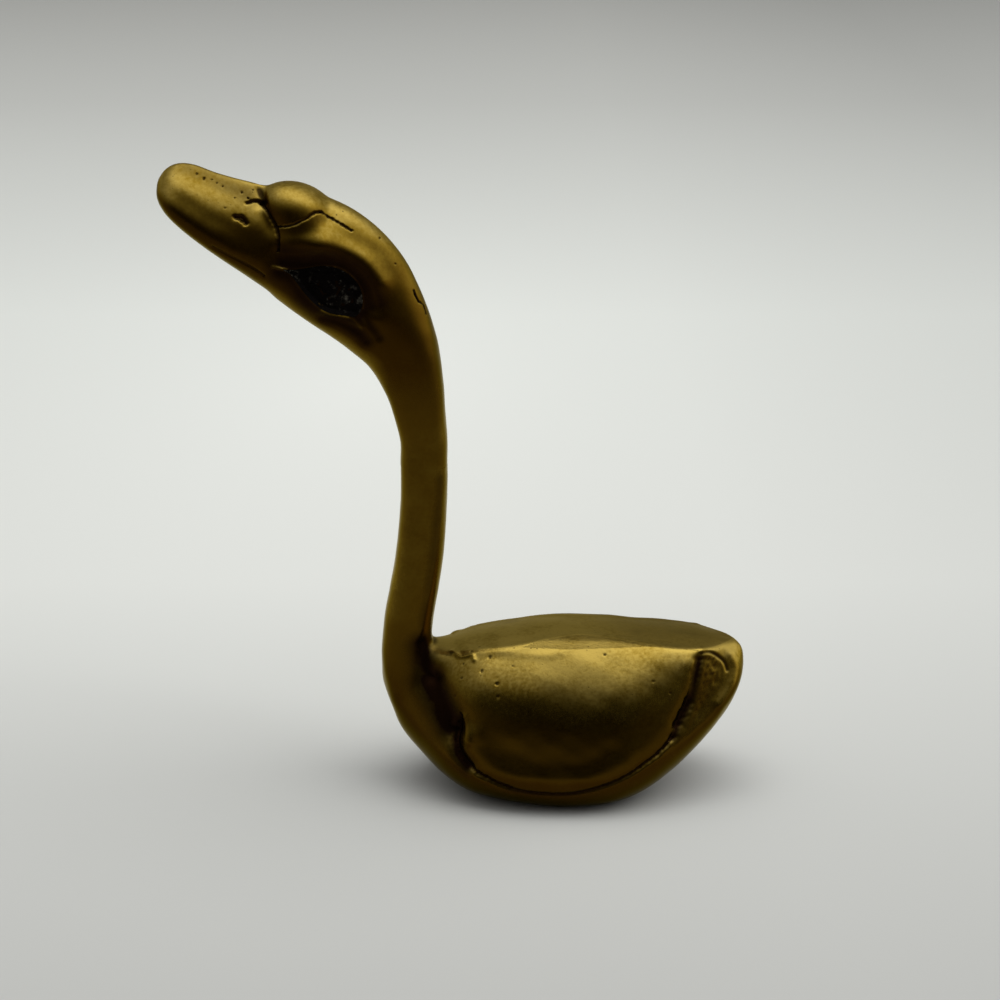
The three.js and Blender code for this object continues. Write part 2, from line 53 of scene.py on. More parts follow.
# Main sizes of the casting, close to those of the solids
BODY_LENGTH = 67.0
NECK_RISE = 32.5
NECK_LEAN = 3.4
NECK_DEPTH = 8.4
NECK_WIDTH = 8.8
NECK_FOOT_DEPTH = 8.9
NECK_FOOT_WIDTH = 9.6
HEAD_REACH = 44.8
HEAD_RISE = 51.2
HEAD_DEPTH = 20.6
HEAD_WIDTH = 15.5
KNOB_HALVES = (7.4, 6.5, 5.4)
KNOB_RISE = 1.2
KNOB_SHARE = 0.612
BILL_SEAM_SHARE = 0.636
BILL_SEAM_TILT = math.radians(11.5)
WING_THICKNESS = 3.2
PLATE_LENGTH = 14.4
PLATE_WIDTH = 14.0
PLATE_THICKNESS = 1.2
CLEARANCE = 0.3

# Places read from the frame: the tail's end, the pin between neck and head, and the plate below
tail_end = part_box("body")[1].x / MM
bow = tail_end - BODY_LENGTH
pin_low, pin_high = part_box("neck_dowel")
joint = np.array((pin_low + pin_high) / 2 / MM)
neck_foot = joint - np.array([NECK_LEAN, 0, NECK_RISE])
plate_low, plate_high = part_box("base_plate")
plate_middle = np.array((plate_low + plate_high) / 2 / MM)

# The camera stands where the photograph was taken from
IMAGE_SIDE = 1000
FIELD_OF_VIEW = math.radians(24.0)
VIEW_ELEVATION = math.radians(18.5)
VIEW_DISTANCE = 423.0
VIEW_TARGET = np.array([7.1, 0.0, 54.0])
FOCAL = IMAGE_SIDE / 2 / math.tan(FIELD_OF_VIEW / 2)
FORWARD = np.array([0.0, math.cos(VIEW_ELEVATION), -math.sin(VIEW_ELEVATION)])
UPWARD = np.array([0.0, math.sin(VIEW_ELEVATION), math.cos(VIEW_ELEVATION)])
EYE_POINT = VIEW_TARGET - VIEW_DISTANCE * FORWARD

# Hull sections from bow to tail, in millimetres: distance from the bow, keel height, half width of
# the flat underside, half beam, height of the widest line, half width of the back, its height
HULL_SECTIONS = [
    (0.5, 19.3, 0.0, 1.3, 21.6, 0.1, 24.2),
    (2.0, 15.1, 0.0, 3.5, 19.6, 0.6, 25.8),
    (4.2, 9.8, 0.2, 5.4, 16.6, 1.4, 26.3),
    (8.0, 5.6, 0.8, 8.4, 12.4, 3.0, 26.2),
    (12.7, 1.9, 2.4, 13.0, 9.4, 4.8, 26.3),
    (18.1, 0.0, 5.6, 16.0, 7.8, 6.6, 27.4),
    (24.8, 0.0, 10.0, 17.8, 7.0, 7.0, 28.5),
    (32.8, 0.0, 12.6, 18.7, 6.8, 7.2, 29.45),
    (40.9, 0.0, 11.4, 18.6, 7.2, 7.0, 29.4),
    (46.9, 0.3, 6.6, 17.4, 8.6, 7.2, 28.7),
    (52.8, 3.0, 2.6, 14.8, 11.2, 7.6, 28.1),
    (58.8, 8.3, 1.0, 11.2, 14.8, 6.2, 27.7),
    (63.8, 14.3, 0.4, 7.4, 18.6, 2.4, 27.3),
    (66.3, 19.3, 0.2, 4.0, 21.4, 0.4, 26.3),
    (67.0, 22.2, 0.1, 1.0, 23.0, 0.1, 24.8),
]

# Angles and shares that round a hull section off, and where along the hull the tail's take over
DECK_CROWN_SHARE = 0.1
FLANK_FALL = math.radians(38.0)
FLANK_EDGE = math.radians(78.0)
TAIL_EDGE = math.radians(58.0)
EDGE_RANGE = (44.0, 66.0)
FLANK_UPPER_REACH = 0.8
TAIL_UPPER_REACH = 0.55
REACH_RANGE = (46.0, 60.0)
FLANK_SIDE_REACH = 0.44
BELLY_SIDE_REACH = 0.55
BELLY_FOOT_REACH = 0.55
LEAST_HALF = 0.2
LEAST_FLAT = 0.05
FLAT_SHARE = 0.9

# Neck sections as shares of its lean and rise, with the share of the spread at its foot
NECK_SECTIONS = [
    (0, 0, 1),
    (0.1, 0.1, 1),
    (0.36, 0.25, 0.8),
    (0.71, 0.47, 0.35),
    (0.92, 0.7, 0),
    (1, 0.87, 0),
    (1, 1, 0),
]
NECK_OVERLAP = (0.7, 1.4)

# Head sections as shares of its reach and rise, and of the growth in depth and width from the neck's
HEAD_SECTIONS = [
    (0, 0, 0, 0),
    (0, 0.09, 0, 0),
    (0.016, 0.185, 0.065, 0.05),
    (0.036, 0.286, 0.18, 0.21),
    (0.083, 0.413, 0.39, 0.515),
    (0.153, 0.519, 0.65, 0.79),
    (0.244, 0.621, 0.903, 0.97),
    (0.353, 0.708, 1, 1),
    (0.467, 0.77, 0.919, 0.955),
    (0.565, 0.808, 0.718, 0.77),
    (0.703, 0.863, 0.484, 0.84),
    (0.826, 0.918, 0.282, 0.76),
    (0.922, 0.972, 0.1, 0.54),
    (0.975, 1.0, -0.14, -0.1),
    (1, 1.012, -0.49, -0.84),
]
HEAD_OVERLAP = (9.0, 6.0, 3.0)

# How square the sections are, and how far below their middle they are widest
NECK_POWER = 2.8
HEAD_POWER = 2.4
POWER_RANGE = (2.0, 24.0)
BROW_SAG = 0.36
BROW_SAG_RANGE = (0.2, 0.45)
BILL_SAG = 0.8
BILL_SAG_RANGE = (0.55, 0.75)

# Breast sections under the neck: steps back and down from its foot, depth and width, in millimetres
BREAST_SECTIONS = [
    (6.4, -19.5, 7.6, 10.0),
    (2.4, -13.5, 9.6, 11.6),
    (0.5, -8.0, 9.7, 11.2),
    (-0.1, -3.5, 9.4, 10.4),
    (0.0, 0.0, 8.9, 9.6),
    (0.0, 1.0, 8.8, 9.5),
]

# How finely the forms are drawn
HULL_RINGS = 220
BACK_POINTS = 10
FLANK_POINTS = 40
BELLY_POINTS = 30
SOLE_POINTS = 6
NECK_RINGS = 90
HEAD_RINGS = 240
HEAD_STEPS = 1000
SPINE_SIDES = 96
KNOB_RINGS = 40
KNOB_SIDES = 64
KNOB_POLE = 0.03
BREAST_RINGS = 60
BODY_GRAIN = 0.22
HEAD_GRAIN = 0.17

# How strokes and spots lie on the skin, and how its hollows are found
PATH_STEP = 3
PATH_REACH = 9.0
RAGGED_SCALE = 1.6
RAGGED_SEED = 2
SPOT_RAGGED = 0.9
SPOT_SCALE = 2.2
SPOT_SEED = 17
NOISE_WAVES = 24
PIT_WIDTH = 0.17
PIT_SPREAD = 0.1
PIT_TURNS = (2.4, 1.7)
HOLLOW_ROUNDS = 40


# Curves and meshes in plain numbers
def smooth_line(rows, count):
    """Points along a Catmull-Rom curve through the rows, evenly spaced in its parameter."""
    rows = np.asarray(rows, float)
    padded = np.vstack([2 * rows[0] - rows[1], rows, 2 * rows[-1] - rows[-2]])
    station = np.linspace(0, len(rows) - 1, count)
    index = np.minimum(station.astype(int), len(rows) - 2)
    t = (station - index)[:, None]
    before, start, end, after = (padded[index + shift] for shift in range(4))
    pull = end - before
    push = after - start
    return (
        start
        + 0.5 * t * pull
        + t**2 * (3 * (end - start) - pull - 0.5 * push)
        + t**3 * (2 * (start - end) + 0.5 * (pull + push))
    )


def rounded(value, power):
    return np.sign(value) * np.abs(value) ** (2 / power)


def bell(distance, width):
    return np.exp(-((distance / width) ** 2))


def ramp(value, low, high):
    t = np.clip((value - low) / (high - low), 0, 1)
    return t * t * (3 - 2 * t)


def blend(start, end, value, span):
    """A value that passes from start to end within a span."""
    return start + (end - start) * ramp(value, *span)


def bezier(start, first, second, end, count):
    t = np.linspace(0, 1, count)[:, None]
    return (1 - t) ** 3 * start + 3 * t * (1 - t) ** 2 * first + 3 * t**2 * (1 - t) * second + t**3 * end


def circle(count):
    """Angles all the way round."""
    return np.linspace(0, 2 * math.pi, count, endpoint=False)


def loft(rings):
    """A closed mesh through a row of rings, each a loop of the same number of points."""
    rings = np.asarray(rings)
    count, sides = rings.shape[:2]
    faces = []
    for ring in range(count - 1):
        for side in range(sides):
            a = ring * sides + side
            b = ring * sides + (side + 1) % sides
            faces.append((a, b, b + sides, a + sides))
    faces.append(tuple(reversed(range(sides))))
    faces.append(tuple(range((count - 1) * sides, count * sides)))
    mesh = bpy.data.meshes.new("loft")
    mesh.from_pydata(rings.reshape(-1, 3).tolist(), [], faces)
    outward = bmesh.new()
    outward.from_mesh(mesh)
    bmesh.ops.recalc_face_normals(outward, faces=outward.faces)
    outward.to_mesh(mesh)
    outward.free()
    return mesh


def prism(outline, across, low, high):
    """An outline in two axes, drawn out along the third."""
    rings = []
    for height in (low, high):
        rings.append(np.insert(np.asarray(outline, float), across, height, axis=1))
    return loft(rings)


def place(name, data):
    """A new object in the scene."""
    item = bpy.data.objects.new(name, data)
    bpy.context.scene.collection.objects.link(item)
    return item


def with_modifier(mesh, kind, **settings):
    """The mesh as it stands after one modifier."""
    worker = place("worker", mesh)
    modifier = worker.modifiers.new(kind.title(), kind)
    for name, value in settings.items():
        setattr(modifier, name, value)
    graph = bpy.context.evaluated_depsgraph_get()
    result = bpy.data.meshes.new_from_object(worker.evaluated_get(graph))
    bpy.data.objects.remove(worker)
    return result


def combine(mesh, other, operation):
    tool = place("tool", other)
    result = with_modifier(mesh, "BOOLEAN", object=tool, operation=operation, solver="MANIFOLD")
    bpy.data.objects.remove(tool)
    return result


def fuse(meshes, grain):
    """One skin over several closed meshes."""
    points = []
    faces = []
    for mesh in meshes:
        start = len(points)
        points += [tuple(vertex.co) for vertex in mesh.vertices]
        faces += [tuple(start + v for v in polygon.vertices) for polygon in mesh.polygons]
    joined = bpy.data.meshes.new("joined")
    joined.from_pydata(points, [], faces)
    joined.update()
    return with_modifier(joined, "REMESH", mode="VOXEL", voxel_size=grain)


def read(collection, field, width, kind=np.float32):
    flat = np.empty(len(collection) * width, kind)
    collection.foreach_get(field, flat)
    return flat.reshape(-1, width)


def gap_to(line, points):
    """How far points are from a line of straight runs."""
    best = np.full(len(points), np.inf)
    for start, end in zip(line[:-1], line[1:]):
        run = end - start
        share = np.clip((points - start) @ run / max(run @ run, TINY), 0, 1)
        best = np.minimum(best, np.linalg.norm(points - start - share[:, None] * run, axis=1))
    return best


def sized(pits):
    """Casting pits with their uneven widths, in millimetres."""
    first, second = (turn * np.arange(len(pits)) for turn in PIT_TURNS)
    return zip(pits, PIT_WIDTH + PIT_SPREAD * np.sin(first) * np.cos(second))


class Skin:
    """A mesh under the tools: its points, normals and neighbours as arrays."""

    def __init__(self, mesh):
        self.mesh = mesh
        self.edges = read(mesh.edges, "vertices", 2, np.int32)
        self.degree = np.maximum(np.bincount(self.edges.ravel(), minlength=len(mesh.vertices)), 1)
        self.refresh()

    def refresh(self):
        self.points = read(self.mesh.vertices, "co", 3).astype(float)
        self.normals = read(self.mesh.vertex_normals, "vector", 3).astype(float)
        self.near = self.points * [1, 0, 1] - np.abs(self.points * [0, 1, 0])
        polygons = [tuple(polygon.vertices) for polygon in self.mesh.polygons]
        self.tree = BVHTree.FromPolygons(self.points.tolist(), polygons)
        self.height = np.zeros(len(self.points))
        self.uneven = self.noise(SPOT_SCALE, SPOT_SEED)
        self.finder = None

    def set_points(self, points):
        self.mesh.vertices.foreach_set("co", points.astype(np.float32).ravel())
        self.mesh.update()
        self.refresh()

    def average(self, values):
        """Each point's mean over its neighbours."""
        count = len(self.points)
        one, two = self.edges.T
        columns = []
        for column in values.T:
            total = np.bincount(one, column[two], count) + np.bincount(two, column[one], count)
            columns.append(total / self.degree)
        return np.array(columns).T

    def relax(self, weight, rounds):
        points = self.points
        for _ in range(rounds):
            points = points + weight[:, None] * (self.average(points) - points)
        self.set_points(points)

    def push(self):
        """Moves the skin by the heights gathered so far."""
        self.set_points(self.points + self.height[:, None] * self.normals)

    def strokes(self, rows):
        """Raises or sinks the skin along lines, fading across each smoothly or with a ragged edge."""
        for pixels, rise, width, ragged in rows:
            gap = self.from_line(pixels)
            if ragged:
                gap = np.abs(gap + ragged * width * self.noise(RAGGED_SCALE, RAGGED_SEED))
            self.height += rise * bell(gap, width)

    def crests(self, rows):
        """Raises thin sharp ridges along lines."""
        for pixels, rise, width in rows:
            self.height += rise * np.exp(-self.from_line(pixels) / width)

    def pits(self, pixels, depth_share, width_share):
        """Sinks uneven casting pits, as deep and wide as shares of their sizes."""
        for pixel, size in sized(pixels):
            width = width_share * size
            gap = self.from_spot(pixel) + SPOT_RAGGED * width * self.uneven
            self.height -= depth_share * size * bell(gap, width)

    def noise(self, scale, seed):
        """Smooth noise between about -1 and 1, finer for a larger scale."""
        draw = np.random.default_rng(seed)
        total = np.zeros(len(self.points))
        for _ in range(NOISE_WAVES):
            way = draw.normal(size=3)
            total += np.cos(2 * scale * self.points @ way + draw.uniform(0, 2 * math.pi))
        return total / math.sqrt(2 * NOISE_WAVES)

    def waves(self, rows):
        """Layers of noise, each with its height, scale and seed."""
        return sum(rise * self.noise(scale, seed) for rise, scale, seed in rows)

    def hollows(self):
        """How far each point lies below the skin's own smoothed surface, in millimetres."""
        smooth = self.points
        for _ in range(HOLLOW_ROUNDS):
            smooth = self.average(smooth)
        return np.einsum("ij,ij->i", smooth - self.points, self.normals)

    def lend(self, mesh):
        """Gives a piece cut from the skin the wear, soil, painted light and painted shade of the skin's
        nearest points.
        """
        if self.finder is None:
            self.finder = KDTree(len(self.points))
            for index, point in enumerate(self.points):
                self.finder.insert(point, index)
            self.finder.balance()
        nearest = [self.finder.find(vertex.co)[1] for vertex in mesh.vertices]
        for name, values in self.wear.items():
            attribute = mesh.attributes.new(name, "FLOAT", "POINT")
            attribute.data.foreach_set("value", np.clip(values[nearest], 0, 1).astype(np.float32))

    def at_pixel(self, pixel):
        """The point of the skin that the photograph shows at a pixel."""
        right = (pixel[0] - IMAGE_SIDE / 2) / FOCAL
        up = (IMAGE_SIDE / 2 - pixel[1]) / FOCAL
        ray = Vector(FORWARD + up * UPWARD) + Vector((right, 0, 0))
        found = self.tree.ray_cast(Vector(EYE_POINT), ray.normalized())[0]
        return None if found is None else np.array(found)

    def path(self, pixels):
        """A smooth line on the skin through pixels of the photograph."""
        line = smooth_line(pixels, PATH_STEP * (len(pixels) - 1) + 1)
        found = [self.at_pixel(pixel) for pixel in line]
        return np.array([point for point in found if point is not None])

    def from_line(self, pixels):
        """How far each point, or the reflection of one on the far side, is from a line."""
        path = self.path(pixels)
        low = path.min(axis=0) - PATH_REACH
        high = path.max(axis=0) + PATH_REACH
        close = np.flatnonzero(np.all((self.near > low) & (self.near < high), axis=1))
        gaps = np.full(len(self.near), np.inf)
        gaps[close] = gap_to(path, self.near[close])
        return gaps

    def from_spot(self, pixel):
        return np.linalg.norm(self.near - self.at_pixel(pixel), axis=1)

    def inside(self, outline):
        """How many pixels inside an outline each point or its reflection shows, below zero outside."""
        offset = self.near - EYE_POINT
        depth = offset @ FORWARD
        across = IMAGE_SIDE / 2 + FOCAL * offset[:, 0] / depth
        down = IMAGE_SIDE / 2 - FOCAL * (offset @ UPWARD) / depth
        closed = np.array([*outline, outline[0]], float)
        gaps = gap_to(closed, np.stack([across, down], axis=1))
        within = np.zeros(len(gaps), bool)
        for start, end in zip(closed[:-1], closed[1:]):
            run = end - start
            crosses = (start[1] > down) != (end[1] > down)
            rise = run[1] if run[1] else TINY
            within ^= crosses & (across < start[0] + (down - start[1]) / rise * run[0])
        return np.where(within, gaps, -gaps)


# Base forms
def hull_ring(row, inset):
    along, keel, foot, half, waist, deck, back = row
    half = max(half - inset, LEAST_HALF)
    back = back - inset
    deck = min(max(deck, LEAST_FLAT), half * FLAT_SHARE)
    foot = min(max(foot, LEAST_FLAT), half * FLAT_SHARE)
    corner = np.array([deck, back])
    side = np.array([half, waist])
    sole = np.array([foot, keel])
    edge = blend(FLANK_EDGE, TAIL_EDGE, along, EDGE_RANGE)
    fall = np.array([math.cos(FLANK_FALL), -math.sin(FLANK_FALL)])
    climb = np.array([-math.cos(edge), math.sin(edge)])
    reach = blend(FLANK_UPPER_REACH, TAIL_UPPER_REACH, along, REACH_RANGE)
    upper_reach = reach * (half - deck) / fall[0]
    flank = bezier(
        corner,
        corner + upper_reach * fall,
        side + FLANK_SIDE_REACH * (back - waist) * climb,
        side,
        FLANK_POINTS,
    )
    belly = bezier(
        side,
        side - [0, BELLY_SIDE_REACH * (waist - keel)],
        sole + [BELLY_FOOT_REACH * (half - foot), 0],
        sole,
        BELLY_POINTS,
    )
    across = np.linspace(0, 1, BACK_POINTS)
    top = np.stack([across * deck, back + DECK_CROWN_SHARE * deck * (1 - across**2)], axis=1)
    bottom = np.stack([foot * np.linspace(1, 0, SOLE_POINTS), np.full(SOLE_POINTS, keel)], axis=1)
    right = np.vstack([top, flank[1:], belly[1:], bottom[1:]])
    left = right[-2:0:-1] * [-1, 1]
    ring = np.vstack([right, left])
    return np.column_stack([np.full(len(ring), bow + along), ring])


def hull(inset=0.0):
    rows = smooth_line(HULL_SECTIONS, HULL_RINGS)
    rows[:, 1] = np.maximum(rows[:, 1], 0)
    return loft([hull_ring(row, inset) for row in rows])


def spine_rows(start, reach, rise, sections, depth_growth, width_growth, count):
    """Centres, depths and widths along a line of sections."""
    rows = np.array(sections, float)
    centres = np.column_stack(
        [start[0] + reach * rows[:, 0], np.zeros(len(rows)), start[2] + rise * rows[:, 1]]
    )
    depths = NECK_DEPTH + rows[:, 2] * depth_growth
    widths = NECK_WIDTH + rows[:, -1] * width_growth
    line = smooth_line(np.column_stack([centres, depths, widths]), count)
    return line[:, :3], line[:, 3], line[:, 4]


def spine_mesh(centres, depths, widths, powers, sags=None):
    """A tube of rounded sections; a sag sets the widest line of a section below its middle."""
    sags = np.zeros(len(centres)) if sags is None else sags
    along = np.gradient(centres, axis=0)
    along /= np.linalg.norm(along, axis=1)[:, None]
    angle = circle(SPINE_SIDES)
    rings = []
    for centre, way, depth, width, power, sag in zip(centres, along, depths, widths, powers, sags):
        crown = np.array([way[2], 0, -way[0]])
        up = depth / 2 * rounded(np.cos(angle), power)
        out = rounded(np.sin(angle), power) * (1 - sag * np.cos(angle))
        out *= width / 2 / np.max(out)
        rings.append(centre + up[:, None] * crown + out[:, None] * [0, 1, 0])
    return loft(rings)


def neck_mesh():
    """The neck, a little longer than it ends up, so that it can be cut off level."""
    spread = (NECK_FOOT_DEPTH - NECK_DEPTH, NECK_FOOT_WIDTH - NECK_WIDTH)
    centres, depths, widths = spine_rows(
        neck_foot, NECK_LEAN, NECK_RISE, NECK_SECTIONS, *spread, NECK_RINGS
    )
    over = [centres[-1] + [0, 0, rise] for rise in NECK_OVERLAP]
    centres = np.vstack([centres, over])
    depths = np.append(depths, [NECK_DEPTH] * len(over))
    widths = np.append(widths, [NECK_WIDTH] * len(over))
    return spine_mesh(centres, depths, widths, np.full(len(centres), NECK_POWER))


def breast_mesh():
    back, rise, depths, widths = smooth_line(BREAST_SECTIONS, BREAST_RINGS).T
    centres = np.column_stack([neck_foot[0] + back, np.zeros(BREAST_RINGS), neck_foot[2] + rise])
    return spine_mesh(centres, depths, widths, np.full(BREAST_RINGS, NECK_POWER))


def head_line(count):
    growth = (HEAD_DEPTH - NECK_DEPTH, HEAD_WIDTH - NECK_WIDTH)
    return spine_rows(joint, -HEAD_REACH, HEAD_RISE, HEAD_SECTIONS, *growth, count)


def head_mesh():
    """The head and bill, with some of the neck below, so that it can be cut off level."""
    centres, depths, widths = head_line(HEAD_RINGS)
    under = [joint - [0, 0, drop] for drop in HEAD_OVERLAP]
    centres = np.vstack([under, centres])
    depths = np.append([NECK_DEPTH] * len(under), depths)
    widths = np.append([NECK_WIDTH] * len(under), widths)
    powers = blend(NECK_POWER, HEAD_POWER, centres[:, 2] - joint[2], POWER_RANGE)
    share = np.append(np.zeros(len(under)), np.linspace(0, 1, HEAD_RINGS))
    sags = BROW_SAG * ramp(share, *BROW_SAG_RANGE)
    sags += (BILL_SAG - BROW_SAG) * ramp(share, *BILL_SAG_RANGE)
    return spine_mesh(centres, depths, widths, powers, sags)


def head_place(share):
    """Centre, direction and depth of the head's line at a share of its stations."""
    centres, depths, _ = head_line(HEAD_STEPS + 1)
    index = round(share * HEAD_STEPS)
    way = centres[index + 1] - centres[index - 1]
    return centres[index], way / np.linalg.norm(way), depths[index]


def knob_mesh():
    """An egg along the top of the head, that stands a little above it."""
    middle, way, depth = head_place(KNOB_SHARE)
    crown = np.array([way[2], 0, -way[0]])
    along, out, up = KNOB_HALVES
    centre = middle + (depth / 2 + KNOB_RISE - up) * crown
    angle = circle(KNOB_SIDES)[:, None]
    around = up * np.cos(angle) * crown + out * np.sin(angle) * np.array([0, 1, 0])
    rings = []
    for turn in np.linspace(KNOB_POLE, math.pi - KNOB_POLE, KNOB_RINGS):
        rings.append(centre - along * math.cos(turn) * way + math.sin(turn) * around)
    return loft(rings)


# Lines of the body, in pixels of the photograph
WING_FOOT = [
    (461, 716), (457, 728), (455, 740), (458, 752), (466, 764), (478, 774), (493, 782), (510, 789),
    (530, 793), (555, 795), (580, 793), (605, 786), (628, 776), (648, 762), (662, 750), (673, 737),
]
WING_REAR = [(673, 737), (682, 718), (690, 700), (695, 680), (699, 660)]
WING_FRONT = [(456, 655), (455, 668), (456, 684), (459, 702), (461, 716)]
WING_FRONT_DEEP = [(457, 728), (455, 740), (459, 754), (468, 766)]
WING_REAR_DEEP = [(678, 724), (684, 712), (689, 701)]
WING_TIP = [(464, 718), (467, 730), (468, 742)]
WING_SWELL = [(484, 690), (504, 694), (526, 692)]
WING_LIP = [
    (472, 738), (476, 752), (488, 765), (506, 775), (528, 780), (555, 782), (582, 780), (606, 773),
    (630, 760), (650, 744), (664, 728), (674, 708), (682, 688), (688, 668),
]
GROOVE_FADE = WING_FOOT[5:8]
BACK_EDGE = [
    (456, 653), (472, 651), (495, 650), (520, 647), (540, 641), (560, 637), (585, 635), (610, 638),
    (635, 642), (660, 647), (700, 651),
]
BACK_FOLD = [(478, 652), (495, 651), (520, 654), (545, 655), (560, 653)]
REAR_EDGE = [(612, 648), (640, 650), (668, 652), (696, 656)]
TAIL_RIDGE = [(703, 651), (710, 651), (722, 647), (729, 641), (737, 638)]
TAIL_RIM = [(731, 655), (736, 668), (731, 686), (720, 704)]
TAIL_LEAF = [
    (701, 655), (708, 652), (716, 655), (724, 662), (727, 672), (724, 686), (716, 700), (704, 718),
    (690, 735), (682, 742), (688, 720), (695, 695),
]
LEAF_EDGE = [(701, 654), (708, 652), (716, 655), (724, 662), (727, 670)]
SHOULDER_POCKET = [(432, 680), (438, 695), (446, 712), (452, 724)]
SHOULDER_TARNISH = [(462, 662), (482, 672), (506, 682), (528, 690)]
SADDLE_VALLEY = [(422, 644), (424, 658), (429, 672)]
NECK_BACK_EDGE = [(443, 470), (440, 510), (436, 540), (429, 587), (423, 616), (419, 640)]
# Painted shade: a dark strip down the back of the neck, standing in for a dark reflection
NECK_PAINTED_SHADE = [(441, 480), (438, 516), (434, 552), (430, 580), (426, 604), (422, 640)]
BODY_FLAW_RIM = [(452, 651), (458, 655), (463, 657), (472, 655), (474, 660)]
BODY_PITS = [
    (463, 664), (462, 678), (456, 696), (482, 671), (513, 667), (498, 697), (483, 706), (474, 710),
    (471, 652), (480, 647), (490, 657), (497, 684), (605, 655), (654, 682), (670, 693), (631, 684),
]

# Strokes on the body, in millimetres: line, rise, width, and how ragged the edges are
BODY_SWELLS = [
    (SHOULDER_POCKET, -1.7, 2.8, 0.0),
    (SADDLE_VALLEY, -0.6, 1.6, 0.0),
    (NECK_BACK_EDGE, 0.12, 0.9, 0.0),
    (TAIL_RIM, 0.35, 1.3, 0.0),
    (WING_SWELL, 0.3, 4.4, 0.0),
    (WING_LIP, 0.25, 2.2, 0.0),
    (WING_TIP, 0.3, 0.8, 0.0),
    (BACK_EDGE, 0.14, 1.1, 0.0),
    (TAIL_RIDGE, 0.2, 1.0, 0.0),
]
BODY_GROOVES = [
    (WING_FOOT, -0.45, 0.42, 0.2),
    (WING_REAR, -0.4, 0.8, 0.15),
    (WING_FRONT_DEEP, -0.9, 1.3, 0.0),
    (GROOVE_FADE, -0.3, 0.7, 0.2),
    (WING_REAR_DEEP, -0.5, 1.1, 0.1),
    (BACK_FOLD, 0.07, 0.9, 0.0),
    (BODY_FLAW_RIM, 0.22, 0.4, 0.0),
    (LEAF_EDGE, -0.16, 0.35, 0.0),
]
BODY_PIT_SHARES = (0.6, 1.0)

# The fillet where the neck stands on the body, and how far the fused skin is smoothed
FILLET_DROP = 3.5
FILLET_SHAPE = (0.8, 1.0, 1.0)
FILLET_REACH = 8.0
RELAX_WEIGHT = 0.5
RELAX_MOST = 0.9
RELAX_ROUNDS = 60

# The sunk leaf on the tail, and the slow waves of the cast surface: height, scale and seed
LEAF_TOP = 26.5
LEAF_SLOPE = (0.0, 11.0)
LEAF_DEPTH = 0.14
LEAF_WAVES = [(0.04, 1.1, 3)]
BODY_WAVES = [(0.03, 0.35, 5), (0.05, 0.08, 7)]


def body_master():
    """The body and neck as one casting, with every groove, crease and pit worked into it."""
    skin = Skin(fuse([hull(), breast_mesh(), neck_mesh()], BODY_GRAIN))
    root = neck_foot - [0, 0, FILLET_DROP]
    fillet = bell(np.linalg.norm((skin.points - root) * FILLET_SHAPE, axis=1), FILLET_REACH)
    skin.relax(np.clip(RELAX_WEIGHT + fillet, 0, RELAX_MOST), RELAX_ROUNDS)
    skin.strokes(BODY_SWELLS)
    skin.push()
    skin.strokes(BODY_GROOVES)
    skin.pits(BODY_PITS, *BODY_PIT_SHARES)
    on_tail = skin.points[:, 2] < LEAF_TOP
    leaf = ramp(skin.inside(TAIL_LEAF), *LEAF_SLOPE) * on_tail
    skin.height -= leaf * (LEAF_DEPTH + skin.waves(LEAF_WAVES))
    skin.height += skin.waves(BODY_WAVES)
    skin.push()
    return skin


# Lines of the head, in pixels of the photograph
BILL_TOP = [(186, 168), (200, 174), (216, 180), (234, 188), (248, 194)]
BILL_MOUTH = [(212, 247), (226, 254), (240, 261), (256, 270), (264, 276)]
BILL_NOTCH = [(247, 203), (255, 201), (262, 203)]
BILL_GROOVE = [(262, 203), (267, 212), (271, 219), (276, 228), (278, 239), (278, 251)]
KNOB_FRONT = [(262, 203), (261, 196), (259, 189)]
NOSTRIL = [(235, 217), (242, 219), (246, 223)]
BROW_CREASE = [(277, 227), (290, 226), (300, 222), (308, 218), (315, 213), (321, 212)]
BROW_TAIL = [(321, 212), (327, 216), (334, 220), (342, 225), (352, 231)]
BROW_UNDER = [(296, 228), (308, 223), (316, 219), (324, 220)]
BROW_FILL = [(286, 234), (300, 233), (313, 230), (325, 231)]
CHEEK = [(318, 247), (332, 250), (350, 257), (366, 267), (378, 284)]
CHEEK_FRONT = [(288, 247), (298, 248), (308, 248), (318, 249)]
CHEEK_UNDER = [(284, 251), (304, 253), (326, 254), (346, 260), (362, 270), (374, 286), (381, 304)]
EYE_HOLLOW = [(284, 261), (304, 259), (326, 259), (345, 265), (358, 276), (367, 291), (370, 306)]
EYE_OUTLINE = [
    (283, 270), (294, 270), (308, 268), (322, 266), (336, 268), (348, 274), (357, 283), (362, 294),
    (362, 306), (356, 316), (342, 315), (330, 313), (320, 308), (310, 299), (304, 292), (298, 284),
    (291, 275),
]
UPPER_LID = [
    (278, 269), (294, 270), (308, 268), (322, 266), (336, 268), (348, 274), (357, 283), (362, 294),
    (363, 308),
]
LOWER_LID = [
    (272, 267), (282, 269), (291, 274), (298, 284), (304, 292), (310, 299), (320, 308), (330, 314),
    (342, 315), (352, 318), (361, 327),
]
LID_CORNER = [(274, 267), (283, 269), (291, 274)]
LID_FOOT = [(322, 310), (334, 314), (348, 317)]
EYE_TAIL = [(362, 314), (370, 325), (379, 337)]
UNDER_EYE = [(322, 318), (340, 322), (357, 331), (366, 341)]
NAPE_CRACK = [(414, 291), (416, 297), (419, 302), (423, 305), (425, 310), (426, 314)]
HEAD_PITS = [
    (190, 170), (197, 174), (204, 179), (212, 180), (217, 183), (223, 187), (230, 191), (235, 198),
    (225, 208), (253, 190), (248, 198), (242, 193), (380, 238), (284, 182), (395, 264), (276, 186),
]

